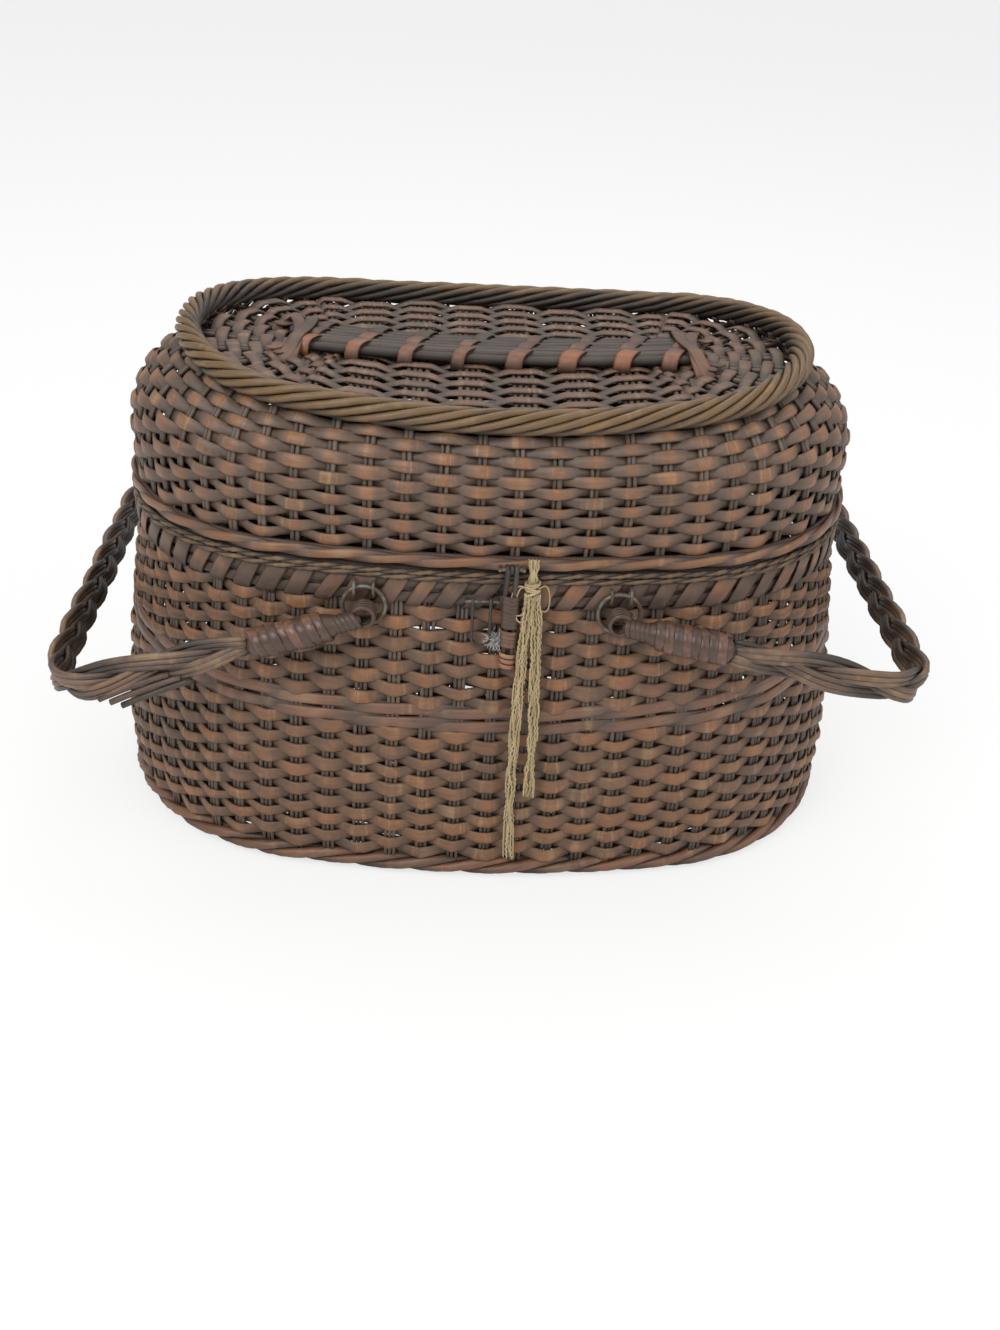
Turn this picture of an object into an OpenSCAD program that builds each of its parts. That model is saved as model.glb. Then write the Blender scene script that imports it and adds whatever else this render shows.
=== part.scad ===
// Lidded oval wicker basket: woven body and lid, twisted borders, two swing handles, hasp and string.
// Millimetres. +Z is up, X runs along the length, the front faces -Y.
// The origin is the middle of the underside of the foot.

/* [Plan] */
// Length over the foot
foot_l = 390; // [350:1:430]
// Depth over the foot
foot_w = 254; // [246:1:280]
// How much the radius of the two ends is less than half the width
end_less = 7; // [3:0.5:20]

/* [Body] */
// Height of the body up to the plane where the lid rests
body_h = 170; // [160:1:190]
// Thickness of the woven walls
wall_t = 5; // [4:0.5:6]
// How far the outer wall stands in from the foot at the wale
mid_inset = 4; // [2:0.5:6]
// How far the outer wall stands in from the foot at the rim
rim_inset = 13; // [11:0.5:16]
// Height of the wale at the middle of the long sides
mid_z = 92; // [84:1:100]
// Rise of the wale at the two ends
mid_rise = 11; // [6:1:16]
// Height of the rim hoop
rim_hoop_h = 20; // [17:0.5:22]
// Number of upright stakes
stake_n = 44; // [32:2:60]
// Diameter of one stake
stake_d = 3; // [2:0.5:3.5]

/* [Foot and base] */
// Height of the foot hoop
hoop_h = 6; // [5:0.5:7]
// Width of the foot hoop
hoop_w = 5; // [4:0.5:7]
// Thickness of one rod of the foot border
foot_rod_d = 5; // [4:0.5:5]
// Turns of the foot border twist round the basket
foot_turns = 15; // [12:1:15]
// Thickness of the woven base
base_t = 4; // [3:0.5:5]
// Length of the long base sticks
base_stick_l = 208; // [180:1:230]
// Thickness of one cross stick
cross_d = 3; // [2:0.5:3.5]

/* [Lid] */
// Height from the rim plane to the middle of the top border, at the long sides
lid_h = 67; // [60:1:80]
// Rise of the top at the two ends
top_rise = 11; // [6:1:14]
// Thickness of the shoulder and side of the lid, measured level
lid_t = 6; // [5:0.5:7]
// Inset of the lid side where it is widest
bulge_inset = 10.5; // [10:0.5:12]
// Height of the flat band round the lid opening
band_h = 6.7; // [5:0.1:8]
// Inset of the outer face of that band
band_inset = 9.5; // [9:0.5:10.5]
// Thickness of the top panel
panel_t = 4; // [3:0.5:5]
// Number of rods in the top border
border_n = 5; // [4:1:5]
// Thickness of one rod of the top border
border_rod_d = 4.6; // [3.8:0.1:4.6]
// Turns of the top border twist round the lid
border_turns = 9; // [7:1:10]

/* [Ridge on the lid] */
// Length of the ridge sticks
ridge_l = 208; // [180:1:230]
// Number of ridge sticks side by side
ridge_n = 7; // [5:1:8]
// Thickness of one ridge stick
ridge_d = 4.8; // [4:0.1:5.5]
// Spacing of the bundles of cross sticks
bundle_pitch = 26; // [24:0.5:28]
// Width of the straps wound over the ridge
strap_w = 5; // [4:0.5:7]
// Thickness of the straps
strap_t = 1.2; // [0.8:0.1:1.6]

/* [Handles] */
// Distance of each handle pivot from the middle of the basket
pivot_x = 60; // [54:1:66]
// Distance of the pivots below the rim plane
pivot_drop = 22; // [20:1:26]
// Distance from the pivot to the middle of the grip
reach = 156; // [156:1:175]
// Clear distance of the handle arms from the rim wall
arm_gap = 9.7; // [9:0.1:12]
// Radius of the handle corners
corner_r = 26; // [20:1:34]
// Droop of the left handle at rest, in degrees
left_droop = 17; // [8:1:20]
// Droop of the right handle at rest, in degrees
right_droop = 12; // [8:1:20]
// Half spread of the three strands of the plait
plait_w = 6.2; // [6:0.1:7.5]
// Half depth of the plait crossings
plait_t = 2.2; // [2.1:0.1:2.6]
// Length of one full turn of the plait
plait_lay = 54; // [48:1:70]
// Length of the wrapped ends
wrap_l = 38; // [30:1:44]
// Diameter of the wrapped ends
wrap_d = 15; // [13:0.5:15.5]
// Radius of the wire rings that the handles hang from
ring_r = 10; // [9.5:0.1:10.5]
// Thickness of the ring wire
ring_wire_d = 2.2; // [1.6:0.1:2.4]

/* [Hinge] */
// Distance of each cane hinge loop from the middle of the back
loop_x = 30; // [22:1:36]
// Radius of the hinge loops
loop_r = 10; // [9.6:0.1:11]
// Thickness of the cane of a hinge loop
loop_d = 2.5; // [2:0.1:2.8]

/* [Latch] */
// Place of the hasp along the front
hasp_x = 8; // [6:0.5:8]
// Length of the hasp below its pin
hasp_l = 52; // [44:1:58]
// Width of the hasp
hasp_w = 6.8; // [6:0.1:7.4]
// Place of the keeper loop along the front
keeper_x = -5; // [-20:1:-5]
// Length of the keeper loop below its pin
keeper_l = 24; // [18:1:30]
// Width of the keeper loop
keeper_w = 10; // [8:0.5:12]
// Thickness of the string tails
string_d = 4; // [3:0.5:4]

/* [Hidden] */
$fn = 96;

// Clearance between pieces that rest on each other
gap = 0.3;
// Clearance of a pin in its eye
pin_play = 0.3;

// Four-arc oval: end arcs stand on (+-end_c, 0), long side arcs on (0, -+side_c)
half_w = foot_w / 2;
end_r = half_w - end_less;
end_c = foot_l / 2 - end_r;
side_c = (end_c * end_c - (half_w - end_r) * (half_w - end_r)) / (2 * (half_w - end_r));
side_r = half_w + side_c;
join_a = atan2(side_c, end_c);
end_len = end_r * 2 * join_a * PI / 180;
side_len = side_r * (180 - 2 * join_a) * PI / 180;
oval_len = 2 * (end_len + side_len);

// Centre, radius and direction of the oval at the fraction u of its length
function oval_place(u) =
    let (s = (u - floor(u)) * oval_len, half = end_len + side_len, back = s >= half ? s - half : s,
        turn = s >= half ? 180 : 0, sign = s >= half ? -1 : 1)
    back < end_len
        ? [sign * end_c, 0, end_r, turn - join_a + back / end_r * 180 / PI]
        : [0, -sign * side_c, side_r, turn + join_a + (back - end_len) / side_r * 180 / PI];
// Direction that points out of the oval at u
function oval_dir(u) = let (p = oval_place(u)) [cos(p[3]), sin(p[3]), 0];
// Point at u, inset from the foot outline, at height z
function oval_pt(u, inset, z) = let (p = oval_place(u)) [p[0], p[1], z] + (p[2] - inset) * oval_dir(u);
// Depth of the outline at x, inset from the foot, valid along the long sides
function side_y(x, inset) = sqrt((side_r - inset) * (side_r - inset) - x * x) - side_c;

// Body wall: outer inset against height
foot_d = 2 * foot_rod_d + 1;
foot_top = foot_d + 1;
foot_twist_r = (foot_rod_d + 0.6) / 2;
foot_in = foot_d / 2 + foot_twist_r + foot_rod_d / 2 + gap;
wall_z0 = foot_top + gap;
hoop_z0 = body_h - rim_hoop_h;
wall_z1 = hoop_z0 - gap;
widest_z = body_h * 0.235;
shoulder_z = body_h * 0.8;
wall_curve = [[0, 2.5], [wall_z0, 1.5], [widest_z, 0], [mid_z, mid_inset],
    [shoulder_z, mid_inset + (rim_inset - mid_inset) * 0.62], [wall_z1, rim_inset - 1], [body_h, rim_inset]];
function wall_inset(z) = lookup(z, wall_curve);
// The wale and its gap in the wall follow a shallow arc that rises at the ends
wale_rod_d = 4;
wale_twist_r = 2.3;
wale_half = wale_twist_r + wale_rod_d / 2 + gap;
wale_a = foot_l / 2 - mid_inset;
wale_arc_r = (wale_a * wale_a + mid_rise * mid_rise) / (2 * mid_rise);
function arc_z(x, z0, r) = z0 + r - sqrt(r * r - x * x);

// Lid: outer inset against height above the rim plane
band_z0 = body_h + gap;
band_z1 = band_z0 + band_h;
lid_z0 = band_z1 + gap;
border_twist_r = (border_rod_d + gap) / (2 * sin(180 / border_n));
border_half = border_twist_r + border_rod_d / 2;
top_mid_z = body_h + lid_h;
lid_curve = [[0, rim_inset - 0.5], [lid_h * 0.3, bulge_inset + 0.7], [lid_h * 0.52, bulge_inset],
    [lid_h * 0.72, bulge_inset + 2.5], [lid_h * 0.87, bulge_inset + 9], [lid_h * 0.99, bulge_inset + 18],
    [lid_h * 1.12, bulge_inset + 31.5]];
function lid_inset(h) = lookup(h, lid_curve);
// The top sags between its two ends along a shallow arc
top_a = foot_l / 2 - bulge_inset - 22;
top_arc_r = (top_a * top_a + top_rise * top_rise) / (2 * top_rise);
// The border lies on the edge of the lid side
lid_cut = border_half + gap;
function border_z(x) = arc_z(x, top_mid_z, top_arc_r);
function border_inset(x) = lid_inset(border_z(x) - lid_cut - body_h) + lid_t * 0.8;
panel_top = lid_cut - 2.4;

// Handles
pivot_z = body_h - pivot_drop;
lash_t = 1.3;
lash_inset = rim_inset - gap - lash_t / 2;
arm_y = half_w - rim_inset + arm_gap + 1;
hub_r = 6.8;
ring_y = side_y(pivot_x - ring_r * 0.8, wall_inset(pivot_z - hub_r)) + gap + ring_wire_d / 2;
wrap_r0 = 16;
braid_r0 = wrap_r0 + 0.8 + wrap_l + gap;
strand_w = 3.2;
strand_t = 1.7;
// The eye of a handle lies on the bottom of its ring
ring_z = pivot_z + ring_r - ring_wire_d / 2 - gap - hub_r;
staple_d = 1.4;
staple_dx = 4.5;
// The neck of a handle swings past the staples
staple_reach = 2 * ring_y - side_y(pivot_x + staple_dx, rim_inset) - gap;
neck_r = arm_y - staple_reach - gap;

// Hinge axis along the back, just outside the band, at the rim plane
hinge_y = half_w - band_inset + 0.5;
hinge_z = body_h;

// Latch: pins stand off the band and the rim
hasp_y = half_w - band_inset + 3.5;
hasp_z = body_h + 3.6;
hasp_pin_d = 1.8;
keeper_y = half_w - rim_inset + 5.4;
keeper_z = body_h - 14;
keeper_pin_d = 1.4;
keeper_wire_d = 1.6;
cord_rod_d = 2.6;
knot_z = body_h - 7.5;
knot_x = 18;
loop_string_d = 3.2;
knot_y = -(side_y(knot_x, band_inset) + gap + loop_string_d / 2 + 2.2);

// Route of the two string tails, from the knot down
left_tail = [[15.9, -122.2, 162.5], [15.9, -122.3, 156], [15.6, -123, 147], [15.2, -124.2, 137],
    [14.8, -125.6, 127], [14.2, -127, 117], [13.8, -128.3, 107], [13.4, -129.4, 98], [13.2, -130, 89],
    [13, -130.2, 79], [13, -130.2, 69], [13, -130.2, 59], [13.1, -130.2, 49], [13.3, -130.2, 39],
    [13.6, -130.2, 29], [14, -130.2, 20]];
right_tail = [[20.1, -122.2, 162.5], [20.3, -122.4, 156], [20.7, -123.2, 146], [21.1, -124.6, 135],
    [21.4, -126.2, 124], [21.6, -127.8, 113], [21.8, -129.3, 102], [21.9, -130, 92], [22, -130.2, 82],
    [22, -130.2, 74], [22, -130.2, 66], [22, -130.2, 58]];

// Closed ring faces over n rings of m points
function loop_faces(n, m) = [for (i = [0:n - 1], j = [0:m - 1], t = [0, 1])
    let (a = i * m + j, b = i * m + (j + 1) % m, c = ((i + 1) % n) * m + j, d = ((i + 1) % n) * m + (j + 1) % m)
    t == 0 ? [a, b, c] : [b, d, c]];
// Open tube faces over n rings of m points, with both ends capped
function tube_faces(n, m) = concat(
    [for (i = [0:n - 2], j = [0:m - 1], t = [0, 1])
        let (a = i * m + j, b = i * m + (j + 1) % m, c = (i + 1) * m + j, d = (i + 1) * m + (j + 1) % m)
        t == 0 ? [a, b, c] : [b, d, c]],
    [for (j = [1:m - 2]) [0, j + 1, j]],
    [for (j = [1:m - 2]) [(n - 1) * m, (n - 1) * m + j, (n - 1) * m + j + 1]]);

// Sweeps a profile of [inset, z] points round the oval
module oval_sweep(points) {
    profile = [for (p = points) [-p[0], p[1]]];
    for (turn = [0, 180]) rotate([0, 0, turn]) {
        translate([end_c, 0, 0]) rotate([0, 0, -join_a]) rotate_extrude(angle = 2 * join_a)
            translate([end_r, 0]) polygon(profile);
        translate([0, -side_c, 0]) rotate([0, 0, join_a]) rotate_extrude(angle = 180 - 2 * join_a)
            translate([side_r, 0]) polygon(profile);
    }
}
// Sweeps a round rod of diameter d round the oval
module oval_rod(inset, z, d) {
    for (turn = [0, 180]) rotate([0, 0, turn]) {
        translate([end_c, 0, z]) rotate([0, 0, -join_a]) rotate_extrude(angle = 2 * join_a)
            translate([end_r - inset, 0]) circle(d = d, $fn = 24);
        translate([0, -side_c, z]) rotate([0, 0, join_a]) rotate_extrude(angle = 180 - 2 * join_a)
            translate([side_r - inset, 0]) circle(d = d, $fn = 24);
    }
}
// Solid oval plate
module oval_plate(inset, z0, h) {
    n = 120;
    translate([0, 0, z0]) linear_extrude(h) polygon([for (i = [0:n - 1]) let (p = oval_pt(i / n, inset, 0)) [p[0], p[1]]]);
}
// Twisted rods that run round the oval: path gives [inset, z] at u
module twisted_ring(rods, rod_d, twist_r, turns, rings, sides, insets, heights) {
    for (k = [0:rods - 1]) {
        points = [for (i = [0:rings - 1])
            let (u = i / rings, turn = 360 * (turns * u + k / rods), out = oval_dir(u),
                middle = oval_pt(u, insets[i], heights[i])
                    + twist_r * (cos(turn) * out + [0, 0, sin(turn)]))
            for (j = [0:sides - 1])
                let (a = 360 * j / sides + turn) middle + rod_d / 2 * (cos(a) * out + [0, 0, sin(a)])];
        polyhedron(points, loop_faces(rings, sides));
    }
}
// Cylinder from a to b
module rod(a, b, d) {
    v = b - a;
    translate(a) rotate([0, acos(v[2] / norm(v)), atan2(v[1], v[0])]) cylinder(d = d, h = norm(v), $fn = 20);
}
// Round ring whose axis is +X
module ring_x(r, d) {
    rotate([0, 90, 0]) rotate_extrude($fn = 64) translate([r, 0]) circle(d = d, $fn = 24);
}
// Room for the hinge loops in whatever they pass through
module hinge_room() {
    for (s = [-1, 1]) translate([s * loop_x, hinge_y, hinge_z]) ring_x(loop_r, loop_d + 2 * gap);
}
// Everything above, or everything below, an arc whose middle is at z0 and that rises at the ends
module arc_drum(z0, r) {
    translate([0, foot_w, z0 + r]) rotate([90, 0, 0]) cylinder(r = r, h = 2 * foot_w, $fn = 720);
}

// Foot and base
module foot_hoop() {
    color("#4a2f22")
        oval_sweep([[foot_in, 0], [foot_in + hoop_w, 0], [foot_in + hoop_w, hoop_h], [foot_in, hoop_h]]);
}
module foot_border() {
    rings = 120;
    color("#5a3524") twisted_ring(2, foot_rod_d, foot_twist_r, foot_turns, rings, 5,
        [for (i = [0:rings - 1]) foot_d / 2], [for (i = [0:rings - 1]) foot_d / 2 + 1]);
}
module base_long_sticks() {
    z = hoop_h - ridge_d / 2;
    color("#4a2f22") for (i = [0:ridge_n - 1]) translate([-base_stick_l / 2, (i - (ridge_n - 1) / 2) * (ridge_d + gap), z])
        rotate([0, 90, 0]) cylinder(d = ridge_d, h = base_stick_l, $fn = 24);
}
module base_weave() {
    color("#5a3a2a") oval_plate(foot_in, hoop_h + gap, base_t);
}
module base_cross_sticks() {
    z = hoop_h + 2 * gap + base_t + cross_d / 2;
    color("#4a2f22") for (x = bundle_places, k = [-1.5:1:1.5]) {
        half = side_y(abs(x) + 8, foot_in + 3);
        translate([x + k * (cross_d + gap), half, z]) rotate([90, 0, 0]) cylinder(d = cross_d, h = 2 * half, $fn = 20);
    }
}
bundle_places = [for (i = [-3.5:1:3.5]) i * bundle_pitch];

// Woven body
function stake_u(i) = (i + 0.5) / stake_n;
module body_stakes() {
    low = wall_z0;
    high = hoop_z0 - gap;
    in_low = wall_inset(low) + wall_t + stake_d / 2 + 2 * gap;
    in_high = wall_inset(high) + wall_t + stake_d / 2 + 2 * gap;
    color("#3f2a20") for (i = [0:stake_n - 1])
        rod(oval_pt(stake_u(i), in_low, low), oval_pt(stake_u(i), in_high, high), stake_d);
}
function wall_profile(z0, z1) =
    let (zs = concat([z0], [for (p = wall_curve) if (p[0] > z0 + 1 && p[0] < z1 - 1) p[0]], [z1]))
    concat([for (z = zs) [wall_inset(z), z]], [for (i = [len(zs) - 1:-1:0]) [wall_inset(zs[i]) + wall_t, zs[i]]]);
module lower_weave() {
    color("#6b3f28") difference() {
        oval_sweep(wall_profile(wall_z0, mid_z + mid_rise + 4));
        arc_drum(mid_z - wale_half, wale_arc_r);
    }
}
module mid_wale() {
    rings = 72;
    us = [for (i = [0:rings - 1]) i / rings];
    heights = [for (u = us) arc_z(oval_pt(u, mid_inset, 0)[0], mid_z, wale_arc_r)];
    color("#7a4a2c") twisted_ring(3, wale_rod_d - 0.3, wale_twist_r, 9, rings, 4,
        [for (z = heights) wall_inset(z) + wall_t / 2], heights);
}
module upper_weave() {
    color("#6b3f28") intersection() {
        oval_sweep(wall_profile(mid_z - 2, wall_z1));
        arc_drum(mid_z + wale_half, wale_arc_r);
    }
}
module rim_hoop() {
    z1 = body_h - gap;
    color("#5a3a2a") difference() {
        oval_sweep([[rim_inset, hoop_z0], [rim_inset + wall_t, hoop_z0], [rim_inset + wall_t, z1], [rim_inset, z1]]);
        hinge_room();
    }
}
module rim_lashing() {
    wraps = 72;
    z = hoop_z0 + rim_hoop_h * 0.34;
    color("#7a4a2c") for (i = [0:wraps - 1]) {
        p = oval_pt((i + 0.5) / wraps, lash_inset, z);
        side = p[1] > 0 ? 1 : 0;
        clear_of_loop = side == 0 || abs(abs(p[0]) - loop_x) > 6;
        clear_of_ring = abs(p[1]) < half_w / 2 || abs(abs(p[0]) - pivot_x) > staple_dx + 5;
        if (clear_of_loop && clear_of_ring)
            translate(p) rotate([0, 0, oval_place((i + 0.5) / wraps)[3]]) rotate([25, 0, 0])
                cube([lash_t, 6, 12.4], center = true);
    }
}
module rim_cord() {
    color("#8a6a4a") for (z = [body_h - 5.1, body_h - 2.2])
        oval_rod(rim_inset - cord_rod_d / 2 - gap, z, cord_rod_d);
}

// Hinge, rings, pins and tuft that belong to the body
module hinge_loops() {
    color("#8a5a38") for (s = [-1, 1]) translate([s * loop_x, hinge_y, hinge_z]) ring_x(loop_r, loop_d);
}
module handle_rings() {
    color("#3a3a38") for (sx = [-1, 1], sy = [-1, 1]) translate([sx * pivot_x, sy * ring_y, ring_z])
        rotate([90, 0, 0]) rotate_extrude($fn = 64) translate([ring_r, 0]) circle(d = ring_wire_d, $fn = 24);
}
module handle_staples() {
    z = ring_z + sqrt(ring_r * ring_r - staple_dx * staple_dx);
    color("#4a4a46") for (sx = [-1, 1], sy = [-1, 1], s = [-1, 1]) {
        x = pivot_x + s * staple_dx;
        translate([sx * x, sy * ring_y, z]) ring_x(ring_y - side_y(x, rim_inset) - gap - staple_d / 2, staple_d);
    }
}
module keeper_pin() {
    span = keeper_w + 5;
    back = side_y(keeper_x, rim_inset - 1.7 - gap);
    color("#4a4a46") {
        translate([keeper_x - span / 2, -keeper_y, keeper_z]) rotate([0, 90, 0])
            cylinder(d = keeper_pin_d, h = span, $fn = 20);
        for (s = [-1, 1]) translate([keeper_x + s * span / 2, -back, keeper_z]) rotate([90, 0, 0])
            cylinder(d = keeper_pin_d, h = keeper_y - back + keeper_pin_d / 2, $fn = 20);
    }
}
module frayed_tuft() {
    z = pivot_z - 12;
    y = half_w - wall_inset(z) + gap;
    tuft_d = 5;
    x = keeper_x + (keeper_w + keeper_wire_d + tuft_d) / 2 + gap;
    color("#8f8f88") translate([x, -y, z]) rotate([90, 0, 0]) cylinder(d1 = tuft_d, d2 = 2, h = 2.6, $fn = 20);
}

// Lid
module lid_band() {
    color("#7a4a2c") difference() {
        oval_sweep([[band_inset, band_z0], [rim_inset + 2, band_z0], [rim_inset + 2, band_z1], [band_inset, band_z1]]);
        hinge_room();
    }
}
module lid_weave() {
    low = lid_z0 - body_h;
    hs = concat([low], [for (p = lid_curve) if (p[0] > low) p[0]]);
    outer = [for (h = hs) [lid_inset(h), body_h + h]];
    inner = [for (i = [len(hs) - 1:-1:0]) [lid_inset(hs[i]) + lid_t, body_h + hs[i]]];
    color("#6b3f28") difference() {
        oval_sweep(concat(outer, inner));
        arc_drum(top_mid_z - lid_cut, top_arc_r);
        hinge_room();
    }
}
module lid_stakes() {
    inset = rim_inset - 0.5 + lid_t + stake_d / 2 + gap;
    color("#3f2a20") for (i = [0:stake_n - 1])
        translate(oval_pt(stake_u(i), inset, lid_z0)) cylinder(d = stake_d, h = lid_h * 0.55, $fn = 20);
}
module top_border() {
    rings = 84;
    xs = [for (i = [0:rings - 1]) oval_pt(i / rings, bulge_inset + 16, 0)[0]];
    color("#8a5c34") twisted_ring(border_n, border_rod_d, border_twist_r, border_turns, rings, 5,
        [for (x = xs) border_inset(x)], [for (x = xs) border_z(x)]);
}
// The top panel is a thin saddle whose edge meets the border all round
module top_weave() {
    around = 48;
    steps = [0.02, 0.35, 0.7, 1];
    edge = [for (i = [0:around - 1])
        let (u = i / around, x = oval_pt(u, bulge_inset + 16, 0)[0])
        oval_pt(u, border_inset(x) + border_half + gap + 0.2, 0)];
    rows = len(steps);
    points = concat(
        [for (s = steps, p = edge) [p[0] * s, p[1] * s, border_z(p[0] * s) - panel_top]],
        [for (s = steps, p = edge) [p[0] * s, p[1] * s, border_z(p[0] * s) - panel_top - panel_t]]);
    low = rows * around;
    color("#6b4530") polyhedron(points, concat(
        [for (r = [0:rows - 2], i = [0:around - 1], t = [0, 1])
            let (a = r * around + i, b = r * around + (i + 1) % around, c = a + around, d = b + around)
            t == 0 ? [a, b, c] : [b, d, c]],
        [for (r = [0:rows - 2], i = [0:around - 1], t = [0, 1])
            let (a = low + r * around + i, b = low + r * around + (i + 1) % around, c = a + around, d = b + around)
            t == 0 ? [a, c, b] : [b, c, d]],
        [for (i = [0:around - 1], t = [0, 1])
            let (a = low - around + i, b = low - around + (i + 1) % around, c = a + low, d = b + low)
            t == 0 ? [a, b, c] : [b, d, c]],
        [for (i = [1:around - 2]) [0, i + 1, i]],
        [for (i = [1:around - 2]) [low, low + i, low + i + 1]]));
}
// Height of the panel's upper face over x
function panel_z(x) = border_z(x) - panel_top;
module ridge_sticks() {
    r = top_arc_r;
    z = panel_z(0) + 2 * gap + cross_d + ridge_d / 2;
    half = asin(ridge_l / 2 / r);
    color("#5f3b28") for (i = [0:ridge_n - 1])
        translate([0, (i - (ridge_n - 1) / 2) * (ridge_d + gap), z + r]) rotate([90, 0, 0])
            rotate([0, 0, -90 - half]) rotate_extrude(angle = 2 * half, $fn = 720) translate([r, 0])
                circle(d = ridge_d, $fn = 24);
}
module ridge_cross_sticks() {
    color("#4a3226") for (x = bundle_places, k = [-1.5:1:1.5]) {
        place = x + k * (cross_d + gap);
        half = side_y(abs(x) + 8, border_inset(x) + border_half + 2);
        translate([place, half, panel_z(place) + gap + cross_d / 2]) rotate([90, 0, 0])
            cylinder(d = cross_d, h = 2 * half, $fn = 20);
    }
}
// Height of the top of the ridge over x
function ridge_z(x) = panel_z(x) + 3 * gap + cross_d + ridge_d;
ridge_w = ridge_n * (ridge_d + gap);
module ridge_straps() {
    drop = ridge_d;
    lean = 22;
    reach = (ridge_w / 2 + gap + strap_w / 2 * sin(lean)) / cos(lean);
    color("#9a4f2c") for (i = [1:6]) {
        x = bundle_places[i];
        far = abs(x) + sin(lean) * (reach + strap_t) + strap_w / 2;
        translate([x, 0, ridge_z(far)]) rotate([0, 0, -lean]) {
            translate([-strap_w / 2, -reach - strap_t, 0]) cube([strap_w, 2 * (reach + strap_t), strap_t]);
            for (y = [-reach - strap_t, reach]) translate([-strap_w / 2, y, -drop])
                cube([strap_w, strap_t, drop + 0.1]);
        }
    }
}
module ridge_end_ties() {
    out = 15;
    fall = ridge_d + gap;
    slope = atan2(fall, out);
    tie_w = 6;
    x = ridge_l / 2 - tie_w / 2 - gap;
    color("#7d4a30") for (s = [-1, 1]) translate([s * x, 0, ridge_z(x) + 0.3]) {
        translate([-tie_w / 2, -ridge_w / 2, 0]) cube([tie_w, ridge_w, strap_t]);
        for (t = [-1, 1]) translate([-tie_w / 2, t * ridge_w / 2, 0]) rotate([-t * slope, 0, 0])
            translate([0, t < 0 ? -out : 0, 0]) cube([tie_w, out, strap_t]);
    }
}

// Pin, knot and tails that belong to the lid
module hasp_pin() {
    span = hasp_w + 4;
    back = side_y(hasp_x, band_inset - gap);
    color("#4a4a46") {
        translate([hasp_x - span / 2, -hasp_y, hasp_z]) rotate([0, 90, 0])
            cylinder(d = hasp_pin_d, h = span, $fn = 20);
        for (s = [-1, 1]) translate([hasp_x + s * span / 2, -back, hasp_z]) rotate([90, 0, 0])
            cylinder(d = hasp_pin_d, h = hasp_y - back + hasp_pin_d / 2, $fn = 20);
    }
}
module string_knot() {
    top = band_z1 + 1.5;
    color("#c9ad7c") {
        translate([knot_x, knot_y, knot_z]) cylinder(r = 4.2, h = 6, $fn = 32);
        translate([knot_x, knot_y + 2.2, knot_z + 3]) cylinder(d = loop_string_d, h = top - knot_z - 3, $fn = 24);
    }
}
// Tube along a route of points
module string_tail(route) {
    sides = 8;
    n = len(route);
    points = [for (i = [0:n - 1])
        let (v = route[min(i + 1, n - 1)] - route[max(i - 1, 0)],
            along = i == 0 || i == n - 1 ? [0, 0, -1] : v / norm(v),
            right = cross(along, [0, 1, 0]) / norm(cross(along, [0, 1, 0])), up = cross(right, along))
        for (j = [0:sides - 1]) route[i] + string_d / 2 * (cos(360 * j / sides) * right + sin(360 * j / sides) * up)];
    polyhedron(points, tube_faces(n, sides));
}
module string_left_tail() {
    color("#c9ad7c") string_tail(left_tail);
}
module string_right_tail() {
    color("#c9ad7c") string_tail(right_tail);
}

// Handles, drawn with the pivot at the origin, the arms along +X and the grip along Y
arm_len = reach - corner_r - braid_r0;
grip_len = 2 * (arm_y - corner_r);
turn_len = corner_r * PI / 2;
bail_len = 2 * arm_len + 2 * turn_len + grip_len;
// Point [x, y] and outward direction of the bail at the length s along it
function bail(s) =
    s < arm_len ? [braid_r0 + s, -arm_y, 0, -1]
    : s < arm_len + turn_len
        ? let (a = (s - arm_len) / corner_r * 180 / PI)
            [reach - corner_r + corner_r * sin(a), -arm_y + corner_r - corner_r * cos(a), sin(a), -cos(a)]
    : s < arm_len + turn_len + grip_len ? [reach, -arm_y + corner_r + s - arm_len - turn_len, 1, 0]
    : s < bail_len - arm_len
        ? let (a = (s - arm_len - turn_len - grip_len) / corner_r * 180 / PI)
            [reach - corner_r + corner_r * cos(a), arm_y - corner_r + corner_r * sin(a), cos(a), sin(a)]
    : [braid_r0 + bail_len - s, arm_y, 0, 1];
// The plait narrows where it enters the wrapped ends
function taper(s) = let (e = min(1, min(s, bail_len - s) / 42)) 0.62 + 0.38 * sin(90 * e);
module braid() {
    rings = 60;
    sides = 5;
    for (k = [0:2]) {
        points = [for (i = [0:rings - 1])
            let (s = bail_len * i / (rings - 1), p = bail(s), out = [p[2], p[3], 0], e = taper(s),
                turn = 360 * (s / plait_lay + k / 3),
                middle = [p[0], p[1], 0] + out * plait_t * sin(2 * turn) + [0, 0, e * plait_w * sin(turn)])
            for (j = [0:sides - 1])
                let (a = 360 * j / sides) middle + out * strand_t * cos(a) + [0, 0, e * strand_w * sin(a)]];
        polyhedron(points, tube_faces(rings, sides));
    }
}
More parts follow.
